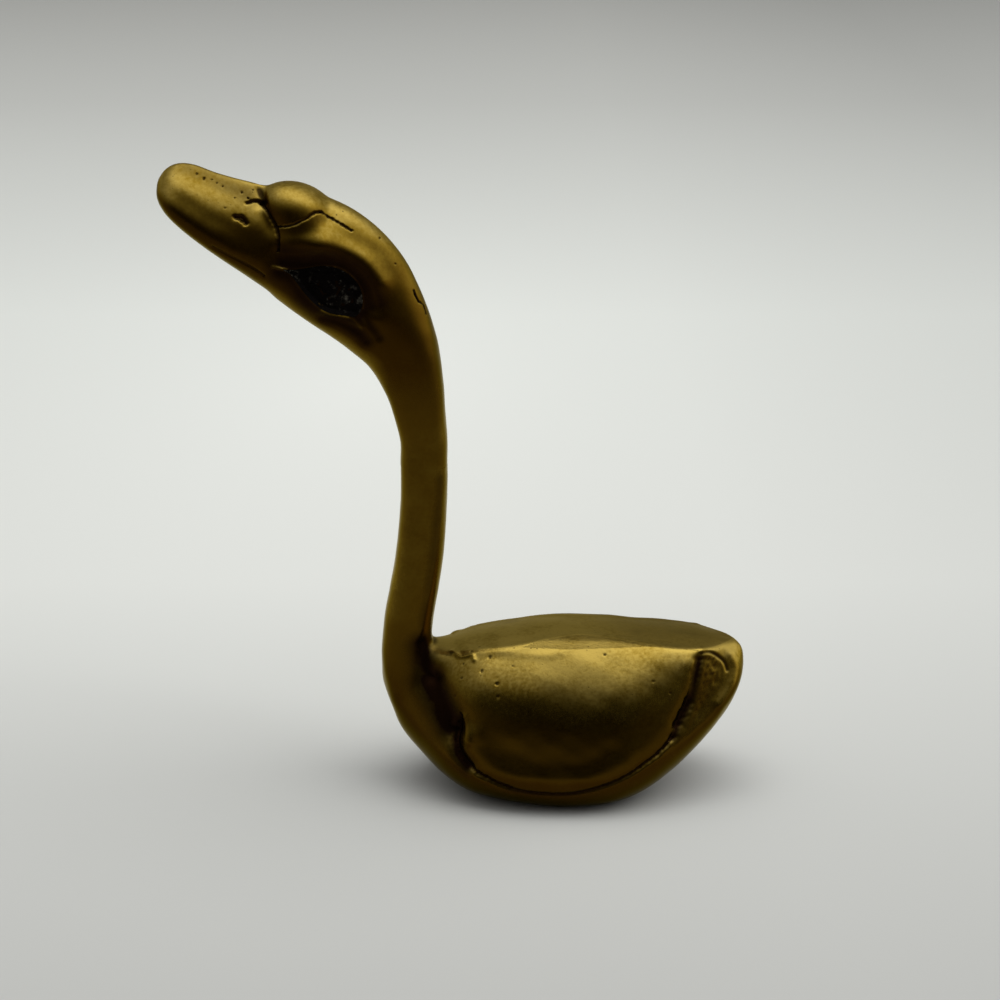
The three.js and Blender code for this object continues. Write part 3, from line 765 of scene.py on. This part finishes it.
# Strokes on the head, in millimetres: line, rise, width, and how ragged the edges are
HEAD_SWELLS = [
    (BILL_GROOVE, -0.3, 1.3, 0.0),
    (KNOB_FRONT, -0.4, 0.9, 0.0),
    (CHEEK, 0.85, 2.1, 0.0),
    (CHEEK_FRONT, 1.0, 2.8, 0.0),
    (BROW_FILL, 0.5, 1.8, 0.0),
]
EYE_HOLLOWS = [
    (EYE_HOLLOW, -0.75, 2.0, 0.0),
    (UNDER_EYE, -0.45, 1.0, 0.0),
]
HEAD_GROOVES = [
    (BILL_MOUTH, -0.28, 0.35, 0.0),
    (BILL_NOTCH, -0.35, 0.28, 0.5),
    (BILL_GROOVE, -0.38, 0.27, 0.3),
    (NOSTRIL, -0.45, 0.4, 0.5),
    (BROW_CREASE, -0.32, 0.19, 0.5),
    (BROW_TAIL, -0.2, 0.16, 0.9),
    (EYE_TAIL, -0.3, 1.0, 0.0),
    (NAPE_CRACK, -0.3, 0.18, 0.8),
]
LID_CRESTS = [
    (UPPER_LID, 0.12, 0.25),
    (LOWER_LID, 0.22, 0.3),
]
HEAD_PIT_SHARES = (0.8, 0.8)
HEAD_WAVES = [(0.02, 0.4, 11), (0.04, 0.1, 13)]

# The brow is smoothed once more under the knob
BROW_RELAX = 0.8
BROW_RELAX_REACH = 3.0
BROW_RELAX_ROUNDS = 90

# Eye sockets: how far the skin must face sideways, the slope at the rim in pixels, and the depth
SOCKET_FACING = (0.1, 0.3)
SOCKET_SLOPE = (-0.5, 3.5)
SOCKET_DEPTH = 0.9


def head_master():
    """The head, bill and knob as one casting, with every groove, lid and pit worked into it."""
    skin = Skin(fuse([head_mesh(), knob_mesh()], HEAD_GRAIN))
    skin.relax(np.full(len(skin.points), RELAX_WEIGHT), RELAX_ROUNDS)
    skin.strokes(HEAD_SWELLS)
    skin.push()
    skin.relax(BROW_RELAX * bell(skin.from_line(BROW_FILL), BROW_RELAX_REACH), BROW_RELAX_ROUNDS)
    skin.strokes(EYE_HOLLOWS)
    skin.push()
    sideways = ramp(np.abs(skin.normals[:, 1]), *SOCKET_FACING)
    skin.height -= SOCKET_DEPTH * ramp(skin.inside(EYE_OUTLINE), *SOCKET_SLOPE) * sideways
    skin.crests(LID_CRESTS)
    skin.strokes(HEAD_GROOVES)
    skin.pits(HEAD_PITS, *HEAD_PIT_SHARES)
    skin.height += skin.waves(HEAD_WAVES)
    skin.push()
    return skin


# Soil in the hollows: its strength, and the depths in millimetres between which it grows. Soil and
# painted shade along lines: its strength and width
BODY_HOLLOWS = (0.9, 0.03, 0.2)
HEAD_HOLLOWS = (0.8, 0.03, 0.16)
# Narrow lines are soil in the grooves; the broad ones are painted shade: the shoulder pocket, the saddle
# valley, the deep ends of the wing's groove and the back of the neck
BODY_SOIL_AND_SHADE = [
    (WING_FOOT, 0.7, 0.5),
    (WING_FRONT_DEEP, 0.9, 1.7),
    (WING_REAR, 0.85, 1.2),
    (SHOULDER_POCKET, 1.0, 4.0),
    (SADDLE_VALLEY, 0.9, 3.0),
    (NECK_PAINTED_SHADE, 0.42, 1.3),
    (LEAF_EDGE, 0.7, 0.4),
]
# Narrow lines are soil in grooves and cracks; the others are painted shade: above, below and behind the
# eye, under the brow and cheek, and over the bill's top to dim its highlight
HEAD_SOIL_AND_SHADE = [
    (BILL_GROOVE, 0.8, 0.45),
    (BROW_CREASE, 0.8, 0.35),
    (BROW_TAIL, 0.75, 0.26),
    (EYE_TAIL, 0.7, 1.0),
    (BROW_UNDER, 0.35, 0.9),
    (NOSTRIL, 0.9, 0.6),
    (EYE_HOLLOW, 0.85, 2.2),
    (CHEEK_UNDER, 0.75, 1.5),
    (UNDER_EYE, 0.8, 1.6),
    (NAPE_CRACK, 0.9, 0.25),
    (BILL_TOP, 0.45, 2.2),
]

# Soil in and round the pits: strength, raggedness, and width as a share of a pit's
BODY_PIT_SOIL = (0.75, 0.2, 1.4)
HEAD_PIT_SOIL = (0.9, 0.15, 1.3)

# Soil on the leaf; painted shade on the flat back towards the tail and round the eyes
LEAF_SOIL = 0.3
LEAF_SOIL_SLOPE = (0.0, 4.0)
TAIL_PAINTED_SHADE = 0.45
TAIL_SHADE_RANGE = (-38.0, -16.0)
TAIL_SHADE_FACING = (0.85, 0.95)
EYE_PAINTED_SHADE = 0.95
EYE_SHADE_REACH = 27
EYE_SHADE_FACING = (0.3, 0.7)

# Rubbing and painted light from above: how far the skin must face up to be painted lighter, and what
# handling, painted highlights and a painted reflection add to it or tarnish and painted shade take away
RUBBED_AND_LIT_FACING = (-0.1, 0.88)
# Tarnish on the shoulder; along the rear edge of the back, painted shade that dims its highlight
TARNISH_AND_SHADE = [(SHOULDER_TARNISH, 0.22), (REAR_EDGE, 0.16)]
TARNISH_AND_SHADE_WIDTH = 4.0
TARNISH_AND_SHADE_PATCHY = 0.5
NECK_RUB = 0.3
NECK_RUB_FOOT = (-14.0, 10.0)
NECK_RUB_TOP = (26.0, 4.0)
# Painted reflection: the down-facing jaw behind the bill is made lighter
JAW_PAINTED_SHEEN = 0.5
JAW_RANGE = (-30.0, -24.0)
JAW_FACING = (-0.2, -0.6)
# Painted highlights along the lids, and their width
LID_PAINTED_SHINE = [(UPPER_LID, 0.25), (LOWER_LID, 0.3), (LID_CORNER, 0.3), (LID_FOOT, 0.7)]
LID_PAINTED_SHINE_WIDTH = 0.3

# The head's finish is more satin than the body's
SATIN_RANGE = (4.0, 28.0)
SATIN_DULL = 0.1


def soil_in(skin, hollows, lines, pits, pit_soil):
    """Dirt that has stayed in the hollows, along lines, and in the pits; some of the lines are painted
    shade.
    """
    strength, *depths = hollows
    soil = strength * ramp(skin.hollows(), *depths)
    for pixels, strength, width in lines:
        soil = np.maximum(soil, strength * bell(skin.from_line(pixels), width))
    strength, ragged, share = pit_soil
    for pixel, size in sized(pits):
        gap = skin.from_spot(pixel) + ragged * skin.uneven
        soil = np.maximum(soil, strength * bell(gap, share * size))
    return soil


def wear_body(skin):
    soil = soil_in(skin, BODY_HOLLOWS, BODY_SOIL_AND_SHADE, BODY_PITS, BODY_PIT_SOIL)
    leaf = ramp(skin.inside(TAIL_LEAF), *LEAF_SOIL_SLOPE)
    soil = np.maximum(soil, LEAF_SOIL * leaf * (1 + skin.uneven))
    # Painted shade on the flat, up-facing back towards the tail
    behind = ramp(skin.points[:, 0] - tail_end, *TAIL_SHADE_RANGE)
    soil = np.maximum(soil, TAIL_PAINTED_SHADE * behind * ramp(skin.normals[:, 2], *TAIL_SHADE_FACING))
    # Skin facing up is painted lighter and skin facing down darker: partly rubbing, partly painted light
    # from above
    rub = ramp(skin.normals[:, 2], *RUBBED_AND_LIT_FACING)
    # Takes rubbing away: tarnish on the shoulder, painted shade along the back's rear edge
    for pixels, strength in TARNISH_AND_SHADE:
        patches = 1 + TARNISH_AND_SHADE_PATCHY * skin.uneven
        rub -= strength * bell(skin.from_line(pixels), TARNISH_AND_SHADE_WIDTH) * patches
    rub += NECK_RUB * ramp(skin.points[:, 2] - neck_foot[2], *NECK_RUB_FOOT)
    skin.wear = {"soil": soil, "rub": rub, "satin": np.zeros(len(skin.points))}


def wear_head(skin):
    soil = soil_in(skin, HEAD_HOLLOWS, HEAD_SOIL_AND_SHADE, HEAD_PITS, HEAD_PIT_SOIL)
    # Painted shade round the eye, where the skin faces sideways
    around_eye = ramp(skin.inside(EYE_OUTLINE), -EYE_SHADE_REACH, 0)
    sideways = ramp(np.abs(skin.normals[:, 1]), *EYE_SHADE_FACING)
    soil = np.maximum(soil, EYE_PAINTED_SHADE * around_eye * sideways)
    rise = skin.points[:, 2] - joint[2]
    # Skin facing up is painted lighter and skin facing down darker: partly rubbing, partly painted light
    # from above
    rub = ramp(skin.normals[:, 2], *RUBBED_AND_LIT_FACING)
    rub += NECK_RUB * ramp(rise, *NECK_RUB_TOP)
    # Painted reflection of the floor on the down-facing jaw
    behind_bill = ramp(skin.points[:, 0] - joint[0], *JAW_RANGE)
    rub = np.maximum(rub, JAW_PAINTED_SHEEN * behind_bill * ramp(skin.normals[:, 2], *JAW_FACING))
    # Painted highlights along the lids: lighter, and cleared of soil
    for lid, painted_shine in LID_PAINTED_SHINE:
        line = painted_shine * bell(skin.from_line(lid), LID_PAINTED_SHINE_WIDTH)
        soil *= 1 - line
        rub = np.maximum(rub, line)
    satin = ramp(rise, *SATIN_RANGE)
    skin.wear = {"soil": soil, "rub": rub - SATIN_DULL * satin, "satin": satin}


body_skin = body_master()
head_skin = head_master()
wear_body(body_skin)
wear_head(head_skin)

# Parting into the pieces that the figure is put together from
FAR = 200.0
CUT_TOP = 45.0
WING_CUT = (1.0, 40.0)
DECK_TOP = 50.0
DECK_FRONT = 3.0
DECK_REAR = 12.0
PLATE_CUT_FOOT = -5.0
HOLE_SIDES = 48
PLATE_SIDES = 96
SHARP_ANGLE = math.radians(60)


def block(centre, turn=np.eye(3)):
    """A cube large enough to cut off all that lies on one side of a face."""
    corners = np.array([(x, y, z) for z in (-1, 1) for x, y in SQUARE], float) * FAR / 2
    return loft((corners @ turn.T + centre).reshape(2, 4, 3))


def half_space(height, way):
    """Everything above a height, or with a way of -1 below it."""
    return block((0, 0, height + way * FAR / 2))


def oval(centre, halves, sides, low, high):
    """An upright prism with an oval outline."""
    angle = circle(sides)
    outline = centre[:2] + np.asarray(halves) * np.column_stack([np.cos(angle), np.sin(angle)])
    return prism(outline, 2, low, high)


def pin_hole():
    radius = (pin_high.x - pin_low.x) / 2 / MM + CLEARANCE
    low = pin_low.z / MM - CLEARANCE
    high = pin_high.z / MM + CLEARANCE
    return oval(joint, (radius, radius), HOLE_SIDES, low, high)


def plate_rebate():
    halves = np.array([PLATE_LENGTH, PLATE_WIDTH]) / 2 + CLEARANCE
    return oval(plate_middle, halves, PLATE_SIDES, PLATE_CUT_FOOT, PLATE_THICKNESS + CLEARANCE)


def bill_half():
    """Everything on the bill's side of its sloping seam."""
    centre, _, _ = head_place(BILL_SEAM_SHARE)
    out = np.array([-math.cos(BILL_SEAM_TILT), 0, -math.sin(BILL_SEAM_TILT)])
    turn = np.column_stack([out, [0, 1, 0], np.cross(out, [0, 1, 0])])
    return block(centre + out * FAR / 2, turn)


def wing_cutter(side):
    """The space of one wing: its outline from the side, outside the back and over the core."""
    outline = np.vstack(
        [
            body_skin.path(WING_FOOT),
            body_skin.path(WING_REAR)[1:],
            [(body_skin.at_pixel(WING_REAR[-1])[0], 0, CUT_TOP)],
            [(body_skin.at_pixel(WING_FRONT[0])[0], 0, CUT_TOP)],
            body_skin.path(WING_FRONT)[:-1],
        ]
    )[:, [0, 2]]
    cutter = prism(outline, 1, *sorted(side * reach for reach in WING_CUT))
    edge = body_skin.path(BACK_EDGE)[:, :2]
    edge = np.vstack([edge[0] - [DECK_FRONT, 0], edge, edge[-1] + [DECK_REAR, 0]])
    deck = prism(np.vstack([edge, edge[::-1] * [1, -1]]), 2, 0.0, DECK_TOP)
    cutter = combine(cutter, deck, "DIFFERENCE")
    return combine(cutter, hull(WING_THICKNESS), "DIFFERENCE")


def set_down(name, mesh, slot, *nodes, skin=None):
    """A finished piece: its mesh in metres, riding on the part in place of its solids."""
    if skin:
        skin.lend(mesh)
    mesh.transform(Matrix.Scale(MM, 4))
    mesh.name = name
    mesh.shade_smooth()
    mesh.set_sharp_from_angle(angle=SHARP_ANGLE)
    piece = place(name, mesh)
    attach(piece, "root")
    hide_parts(*nodes)
    return piece


def cut_pieces():
    hole = pin_hole()
    cutters = {"left": wing_cutter(-1), "right": wing_cutter(1)}
    body = combine(body_skin.mesh, half_space(neck_foot[2], -1), "INTERSECT")
    for cutter in cutters.values():
        body = combine(body, cutter, "DIFFERENCE")
    body = combine(body, plate_rebate(), "DIFFERENCE")
    neck = combine(body_skin.mesh, half_space(neck_foot[2], 1), "INTERSECT")
    neck = combine(neck, half_space(joint[2], -1), "INTERSECT")
    neck = combine(neck, hole, "DIFFERENCE")
    skull = combine(head_skin.mesh, half_space(joint[2], 1), "INTERSECT")
    skull = combine(skull, hole, "DIFFERENCE")
    pieces = {
        "body": set_down("body_casting", body, "body_brass", "body", skin=body_skin),
        "neck": set_down("neck_casting", neck, "neck_brass", "neck", skin=body_skin),
    }
    for name, operation in (("head", "DIFFERENCE"), ("bill", "INTERSECT")):
        half = combine(skull, bill_half(), operation)
        pieces[name] = set_down(name + "_casting", half, name + "_brass", name, skin=head_skin)
    for side, cutter in cutters.items():
        wing = combine(body_skin.mesh, cutter, "INTERSECT")
        name = side + "_wing"
        pieces[name] = set_down(name + "_casting", wing, "wing_brass", name, skin=body_skin)
    return pieces


# The filling of an eye: how far it stands out, and its lumps, which fade towards the lids
EYE_POINTS = 96
EYE_RINGS = 26
EYE_MIDDLE = 0.02
EYE_PROUD = 0.12
EYE_BACK = 0.8
LUMP_HEIGHT = 0.22
LUMP_FADE = 6
LUMP_SCALE = 0.9
LUMP_FRACTAL = (0.6, 2.2, 4)


def eye_inlay(side):
    """The rough dark filling of one eye, cast into its socket."""
    outline = smooth_line(EYE_OUTLINE + EYE_OUTLINE[:1], EYE_POINTS + 1)[:-1]
    middle = outline.mean(axis=0)
    rings = []
    for share in np.linspace(EYE_MIDDLE, 1.0, EYE_RINGS):
        ring = []
        for pixel in middle + share * (outline - middle):
            spot = head_skin.at_pixel(pixel)
            lump = LUMP_HEIGHT * noise.fractal(Vector(spot * LUMP_SCALE), *LUMP_FRACTAL)
            ring.append(spot - [0, EYE_PROUD + lump * (1 - share**LUMP_FADE), 0])
        rings.append(ring)
    rings.append(np.array(rings[-1]) + [0, EYE_BACK, 0])
    return loft(np.array(rings) * [1, -side, 1])


pieces = cut_pieces()
for side, sign in (("left", -1), ("right", 1)):
    inlay = eye_inlay(sign)
    pieces[side + "_eye"] = set_down(side + "_eye_inlay", inlay, "eye_pitch", side + "_eye")

# Materials are built from nodes; these are the colour sockets of a mix node
MIX_FACTOR = "0"
MIX_FIRST = "6"
MIX_SECOND = "7"
MIX_RESULT = 2
UNIT = (0.0, 1.0)


def link_nodes(tree):
    """Short ways to add a node and to set one of its inputs, to a value or from a socket."""

    def add(kind, settings=None, **sockets):
        node = tree.nodes.new(kind)
        for name, value in (settings or {}).items():
            setattr(node, name, value)
        for name, value in sockets.items():
            put(node, name, value)
        return node

    def put(node, name, value):
        socket = node.inputs[int(name)] if name.isdigit() else node.inputs[name]
        if isinstance(value, bpy.types.NodeSocket):
            tree.links.new(value, socket)
        else:
            socket.default_value = value

    return add, put


def new_material(name):
    material = bpy.data.materials.new(name)
    material.use_nodes = True
    return material, material.node_tree.nodes["Principled BSDF"], *link_nodes(material.node_tree)


def numbered(*values):
    return {str(index): value for index, value in enumerate(values)}


def colour_ramp(add, factor, stops):
    node = add("ShaderNodeValToRGB", Fac=factor)
    elements = node.color_ramp.elements
    while len(elements) < len(stops):
        elements.new(0.5)
    for element, (position, colour) in zip(elements, stops):
        element.position = position
        element.color = (*colour, 1)
    return node.outputs["Color"]


def scaled(add, value, source, target):
    """A value carried from one range to another, and held at its ends."""
    return add("ShaderNodeMapRange", **numbered(value, *source, *target)).outputs[0]


def maths(add, operation, first, second):
    return add("ShaderNodeMath", {"operation": operation}, **numbered(first, second)).outputs[0]


def mixed(add, factor, first, second, blend="MIX"):
    sockets = {MIX_FACTOR: factor, MIX_FIRST: first, MIX_SECOND: second}
    node = add("ShaderNodeMix", {"data_type": "RGBA", "blend_type": blend}, **sockets)
    return node.outputs[MIX_RESULT]


def wear_of(add, name):
    return add("ShaderNodeAttribute", {"attribute_name": name}).outputs["Fac"]


# Brass: its colours from dark to rubbed and painted lit, and the noise that breaks them up
PATINA_STOPS = [
    (0.0, (0.040, 0.0175, 0.0012)),
    (0.3, (0.080, 0.042, 0.0032)),
    (0.6, (0.165, 0.104, 0.0115)),
    (1.0, (0.31, 0.219, 0.047)),
]
# The dark brown of soil, used also for painted shade
SOIL_AND_SHADE_COLOUR = (0.012, 0.005, 0.002, 1)
BRASS_TINT = (0.86, 0.78, 0.52, 1)
NOISE_SPAN = (0.3, 0.7)
BLOTCHES = {"Scale": 170.0, "Detail": 6.0, "Roughness": 0.62}
GRAIN = {"Scale": 1500.0, "Detail": 4.0, "Roughness": 0.6}
CELLS = {"Scale": 900.0, "Randomness": 1.0}

# How far the noise shifts the patina, most where the brass is rubbed and painted lit
PATINA_BLOTCH = (-0.24, 0.24)
PATINA_GRAIN = (-0.14, 0.14)
PATINA_RUB = (0.3, 0.9)
PATINA_SHARE = (0.15, 1.0)

# Dark specks in some of the blotches where the brass is rubbed and painted lit, and the soil and painted
# shade
SPECK_CELL = (0.16, 0.06)
SPECK_BLOTCH = (0.52, 0.6)
SPECK_STRENGTH = (0.0, 0.8)
SPECK_RUB = (0.45, 0.75)
SOIL_BLOTCH = (-0.1, 0.15)
SOIL_SPAN = (0.15, 0.9)

# Roughness by wear, grain, satin finish, and soil and painted shade, and the grain's relief in metres
WORN_ROUGHNESS = (0.22, 0.32)
GRAIN_ROUGHNESS = (-0.012, 0.012)
SATIN_ROUGHNESS = (0.0, 0.09)
SOIL_ROUGHNESS = (0.0, 0.2)
GRAIN_RUB = (0.5, 0.95)
GRAIN_RELIEF = {"Strength": 0.25, "Distance": 0.0001}


def aged_brass(name, shift, wear):
    """Old cast brass: dull where it has darkened, warm where it is rubbed and where light from above is
    painted on, brown in its hollows and where shade is painted.
    """
    material, shader, add, put = new_material(name)
    spot = add("ShaderNodeTexCoord").outputs["Object"]
    moved = add("ShaderNodeMapping", Vector=spot, Location=(shift, shift, 0)).outputs[0]
    blotch = add("ShaderNodeTexNoise", Vector=moved, **BLOTCHES).outputs["Fac"]
    fine = add("ShaderNodeTexNoise", Vector=moved, **GRAIN).outputs["Fac"]
    cells = add("ShaderNodeTexVoronoi", Vector=moved, **CELLS).outputs["Distance"]
    rub = wear_of(add, "rub")
    blotchy = scaled(add, blotch, NOISE_SPAN, PATINA_BLOTCH)
    uneven = maths(add, "ADD", blotchy, scaled(add, fine, NOISE_SPAN, PATINA_GRAIN))
    uneven = maths(add, "MULTIPLY", uneven, scaled(add, rub, PATINA_RUB, PATINA_SHARE))
    worn = maths(add, "ADD", maths(add, "ADD", rub, wear), uneven)
    metal = colour_ramp(add, worn, PATINA_STOPS)
    specks = scaled(add, cells, SPECK_CELL, UNIT)
    specks = maths(add, "MULTIPLY", specks, scaled(add, blotch, SPECK_BLOTCH, SPECK_STRENGTH))
    specks = maths(add, "MULTIPLY", specks, scaled(add, rub, SPECK_RUB, UNIT))
    dirt_and_shade = maths(add, "ADD", wear_of(add, "soil"), scaled(add, blotch, NOISE_SPAN, SOIL_BLOTCH))
    dirt_and_shade = maths(add, "MAXIMUM", scaled(add, dirt_and_shade, SOIL_SPAN, UNIT), specks)
    put(shader, "Base Color", mixed(add, dirt_and_shade, metal, SOIL_AND_SHADE_COLOUR))
    put(shader, "Metallic", 1)
    put(shader, "Specular Tint", BRASS_TINT)
    rough = scaled(add, worn, UNIT, WORN_ROUGHNESS)
    rough = maths(add, "ADD", rough, scaled(add, fine, NOISE_SPAN, GRAIN_ROUGHNESS))
    rough = maths(add, "ADD", rough, scaled(add, wear_of(add, "satin"), UNIT, SATIN_ROUGHNESS))
    put(shader, "Roughness", maths(add, "ADD", rough, scaled(add, dirt_and_shade, UNIT, SOIL_ROUGHNESS)))
    grain = maths(add, "MULTIPLY", fine, scaled(add, rub, GRAIN_RUB, UNIT))
    relief = maths(add, "SUBTRACT", grain, specks)
    put(shader, "Normal", add("ShaderNodeBump", Height=relief, **GRAIN_RELIEF).outputs["Normal"])
    return material


# Pitch: its colours from black to dusty, the noise of its crust and of the dust on it
PITCH_STOPS = [(0.0, (0.0016, 0.0008, 0.0005)), (1.0, (0.10, 0.09, 0.07))]
CRUST = {"Scale": 700.0, "Detail": 5.0, "Roughness": 0.7}
DUST = {"Scale": 250.0, "Detail": 3.0, "Roughness": 0.6}
CRUST_PORES = (0.52, 0.7)
DUST_SPAN = (0.47, 0.6)
PITCH_SHINE = 0.03
PITCH_ROUGHNESS = (0.5, 0.85)
CRUST_RELIEF = {"Strength": 0.6, "Distance": 0.0002}


def eye_pitch():
    """Black pitch in the eye sockets, crusted, with grey dust in its pores."""
    material, shader, add, put = new_material("eye_pitch")
    spot = add("ShaderNodeTexCoord").outputs["Object"]
    crust = add("ShaderNodeTexNoise", Vector=spot, **CRUST).outputs["Fac"]
    dust = add("ShaderNodeTexNoise", Vector=spot, **DUST).outputs["Fac"]
    pores = scaled(add, crust, CRUST_PORES, UNIT)
    grey = maths(add, "MULTIPLY", pores, scaled(add, dust, DUST_SPAN, UNIT))
    put(shader, "Base Color", colour_ramp(add, grey, PITCH_STOPS))
    put(shader, "Specular IOR Level", PITCH_SHINE)
    put(shader, "Roughness", scaled(add, crust, NOISE_SPAN, PITCH_ROUGHNESS))
    put(shader, "Normal", add("ShaderNodeBump", Height=crust, **CRUST_RELIEF).outputs["Normal"])
    return material


def dress(item, material):
    item.data.materials.clear()
    item.data.materials.append(material)


# Each brass's shift of pattern, in metres, and how worn it is all over
CAST_BRASS = (0.01, 0.0)
DOWEL_BRASS = (0.07, 0.5)
PLATE_BRASS = (0.09, 0.3)
CAST_FINISHES = {
    "body_brass": ("body",),
    "wing_brass": ("left_wing", "right_wing"),
    "neck_brass": ("neck",),
    "head_brass": ("head",),
    "bill_brass": ("bill",),
}
for finish, piece_names in CAST_FINISHES.items():
    brass = aged_brass(finish, *CAST_BRASS)
    for piece_name in piece_names:
        dress(pieces[piece_name], brass)
dress(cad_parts["neck_dowel"], aged_brass("dowel_brass", *DOWEL_BRASS))
dress(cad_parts["base_plate"], aged_brass("plate_brass", *PLATE_BRASS))
pitch = eye_pitch()
for side in ("left", "right"):
    dress(pieces[side + "_eye"], pitch)

# Floor: painted light and shade on it from front to back, a painted pool of light behind the figure, and
# painted shade falling off towards the right
PAPER_PAINTED_SHADE_STOPS = [
    (0.0, (0.46, 0.462, 0.442)),
    (0.18, (0.73, 0.742, 0.705)),
    (0.36, (0.745, 0.765, 0.725)),
    (0.68, (0.545, 0.553, 0.523)),
    (1.0, (0.422, 0.425, 0.4)),
]
PAPER_DEPTH = (-0.15, 1.25)
PAPER_ROUGHNESS = 0.85
PAINTED_LIGHT_POOL = {"Location": (-0.035, 0.27, 0.0), "Scale": (0.21, 0.46, 1.0)}
PAINTED_LIGHT_POOL_LEVELS = (1.0, 1.15)
PAINTED_SHADE_ACROSS = (0.06, 0.24)
PAINTED_SHADE_LEVELS = (1.0, 0.84)
FLOOR_HALF = 4


def paper(name):
    """Pale matt paper, with painted shade that makes it a little darker towards the front and far
    behind, a painted pool of light behind the figure and painted shade towards the right.
    """
    material, shader, add, put = new_material(name)
    spot = add("ShaderNodeTexCoord").outputs["Object"]
    way = add("ShaderNodeSeparateXYZ", Vector=spot)
    # Painted shade towards the front and far behind
    share = scaled(add, way.outputs["Y"], PAPER_DEPTH, UNIT)
    colour = colour_ramp(add, share, PAPER_PAINTED_SHADE_STOPS)
    # A painted pool of light behind the figure, and painted shade towards the right
    light_pool_place = add("ShaderNodeMapping", {"vector_type": "TEXTURE"}, Vector=spot, **PAINTED_LIGHT_POOL).outputs[0]
    light_pool = add("ShaderNodeTexGradient", {"gradient_type": "QUADRATIC_SPHERE"}, Vector=light_pool_place)
    level = scaled(add, light_pool.outputs["Fac"], UNIT, PAINTED_LIGHT_POOL_LEVELS)
    level = maths(add, "MULTIPLY", level, scaled(add, way.outputs["X"], PAINTED_SHADE_ACROSS, PAINTED_SHADE_LEVELS))
    put(shader, "Base Color", mixed(add, 1.0, colour, level, "MULTIPLY"))
    put(shader, "Roughness", PAPER_ROUGHNESS)
    return material


floor_corners = [(x * FLOOR_HALF, y * FLOOR_HALF, 0) for x, y in SQUARE]
floor_mesh = bpy.data.meshes.new("floor")
floor_mesh.from_pydata(floor_corners, [], [(0, 1, 2, 3)])
floor = place("floor", floor_mesh)
dress(floor, paper("floor_paper_painted_light"))

# Light: a soft panel overhead
PANEL_HEIGHT = 1.6
PANEL_SIZE = (2.4, 1.1)
PANEL_PLACE = (0.6, -0.08)
PANEL_TURN = math.radians(-20)
PANEL_POWER = 12.2
lamp = bpy.data.lights.new("overhead_panel", "AREA")
lamp.shape = "RECTANGLE"
lamp.size, lamp.size_y = PANEL_SIZE
lamp.energy = PANEL_POWER
panel = place("overhead_panel", lamp)
panel.location = (*PANEL_PLACE, PANEL_HEIGHT)
panel.rotation_euler.z = PANEL_TURN

# Room: its brightness by height, from the floor's level to straight above, in front and behind
FRONT_LEVELS = [(0.0, 0.008), (0.3, 0.014), (0.5, 0.06), (0.7, 0.24), (0.85, 0.62), (0.95, 1.1)]
BACK_LEVELS = [(0.0, 0.48), (0.3, 0.36), (0.5, 0.28), (0.75, 0.36), (0.95, 1.2)]
BACK_SPAN = (-0.25, 0.35)

# Windows at the sides, by direction across, up and towards the back, and their brightness
LEFT_ACROSS = (-0.35, -0.95)
LEFT_LEVELS = (0.0, 0.32)
RIGHT_ACROSS = (0.3, 0.85)
RIGHT_UP = (0.5, 0.85)
RIGHT_LEVELS = (0.15, 1.5)
LOW_ACROSS = (0.68, 0.9)
LOW_BACK = (-0.45, -0.05)
LOW_LEVELS = (0.0, 1.25)


def greys(levels):
    return [(position, (level,) * 3) for position, level in levels]


def studio():
    """A pale room with windows at its sides, dark on the camera's side."""
    world = bpy.data.worlds.new("studio")
    world.use_nodes = True
    add, put = link_nodes(world.node_tree)
    way = add("ShaderNodeSeparateXYZ", Vector=add("ShaderNodeTexCoord").outputs["Generated"])
    across, back, up = way.outputs
    front_tone = colour_ramp(add, up, greys(FRONT_LEVELS))
    back_tone = colour_ramp(add, up, greys(BACK_LEVELS))
    room = mixed(add, scaled(add, back, BACK_SPAN, UNIT), front_tone, back_tone)
    left = scaled(add, across, LEFT_ACROSS, LEFT_LEVELS)
    right = scaled(add, across, RIGHT_ACROSS, UNIT)
    right = maths(add, "MULTIPLY", right, scaled(add, up, RIGHT_UP, RIGHT_LEVELS))
    low = scaled(add, across, LOW_ACROSS, UNIT)
    low = maths(add, "MULTIPLY", low, scaled(add, back, LOW_BACK, LOW_LEVELS))
    sides = maths(add, "ADD", maths(add, "ADD", left, right), low)
    put(world.node_tree.nodes["Background"], "Color", mixed(add, 1.0, room, sides, "ADD"))
    return world


bpy.context.scene.world = studio()

SENSOR_WIDTH = 36
camera_data = bpy.data.cameras.new("camera")
camera_data.sensor_width = SENSOR_WIDTH
camera_data.lens = SENSOR_WIDTH / 2 / math.tan(FIELD_OF_VIEW / 2)
camera = place("camera", camera_data)
camera.location = Vector(EYE_POINT) * MM
camera.rotation_euler = (math.pi / 2 - VIEW_ELEVATION, 0, 0)
bpy.context.scene.camera = camera
bpy.context.scene.view_settings.view_transform = "Standard"
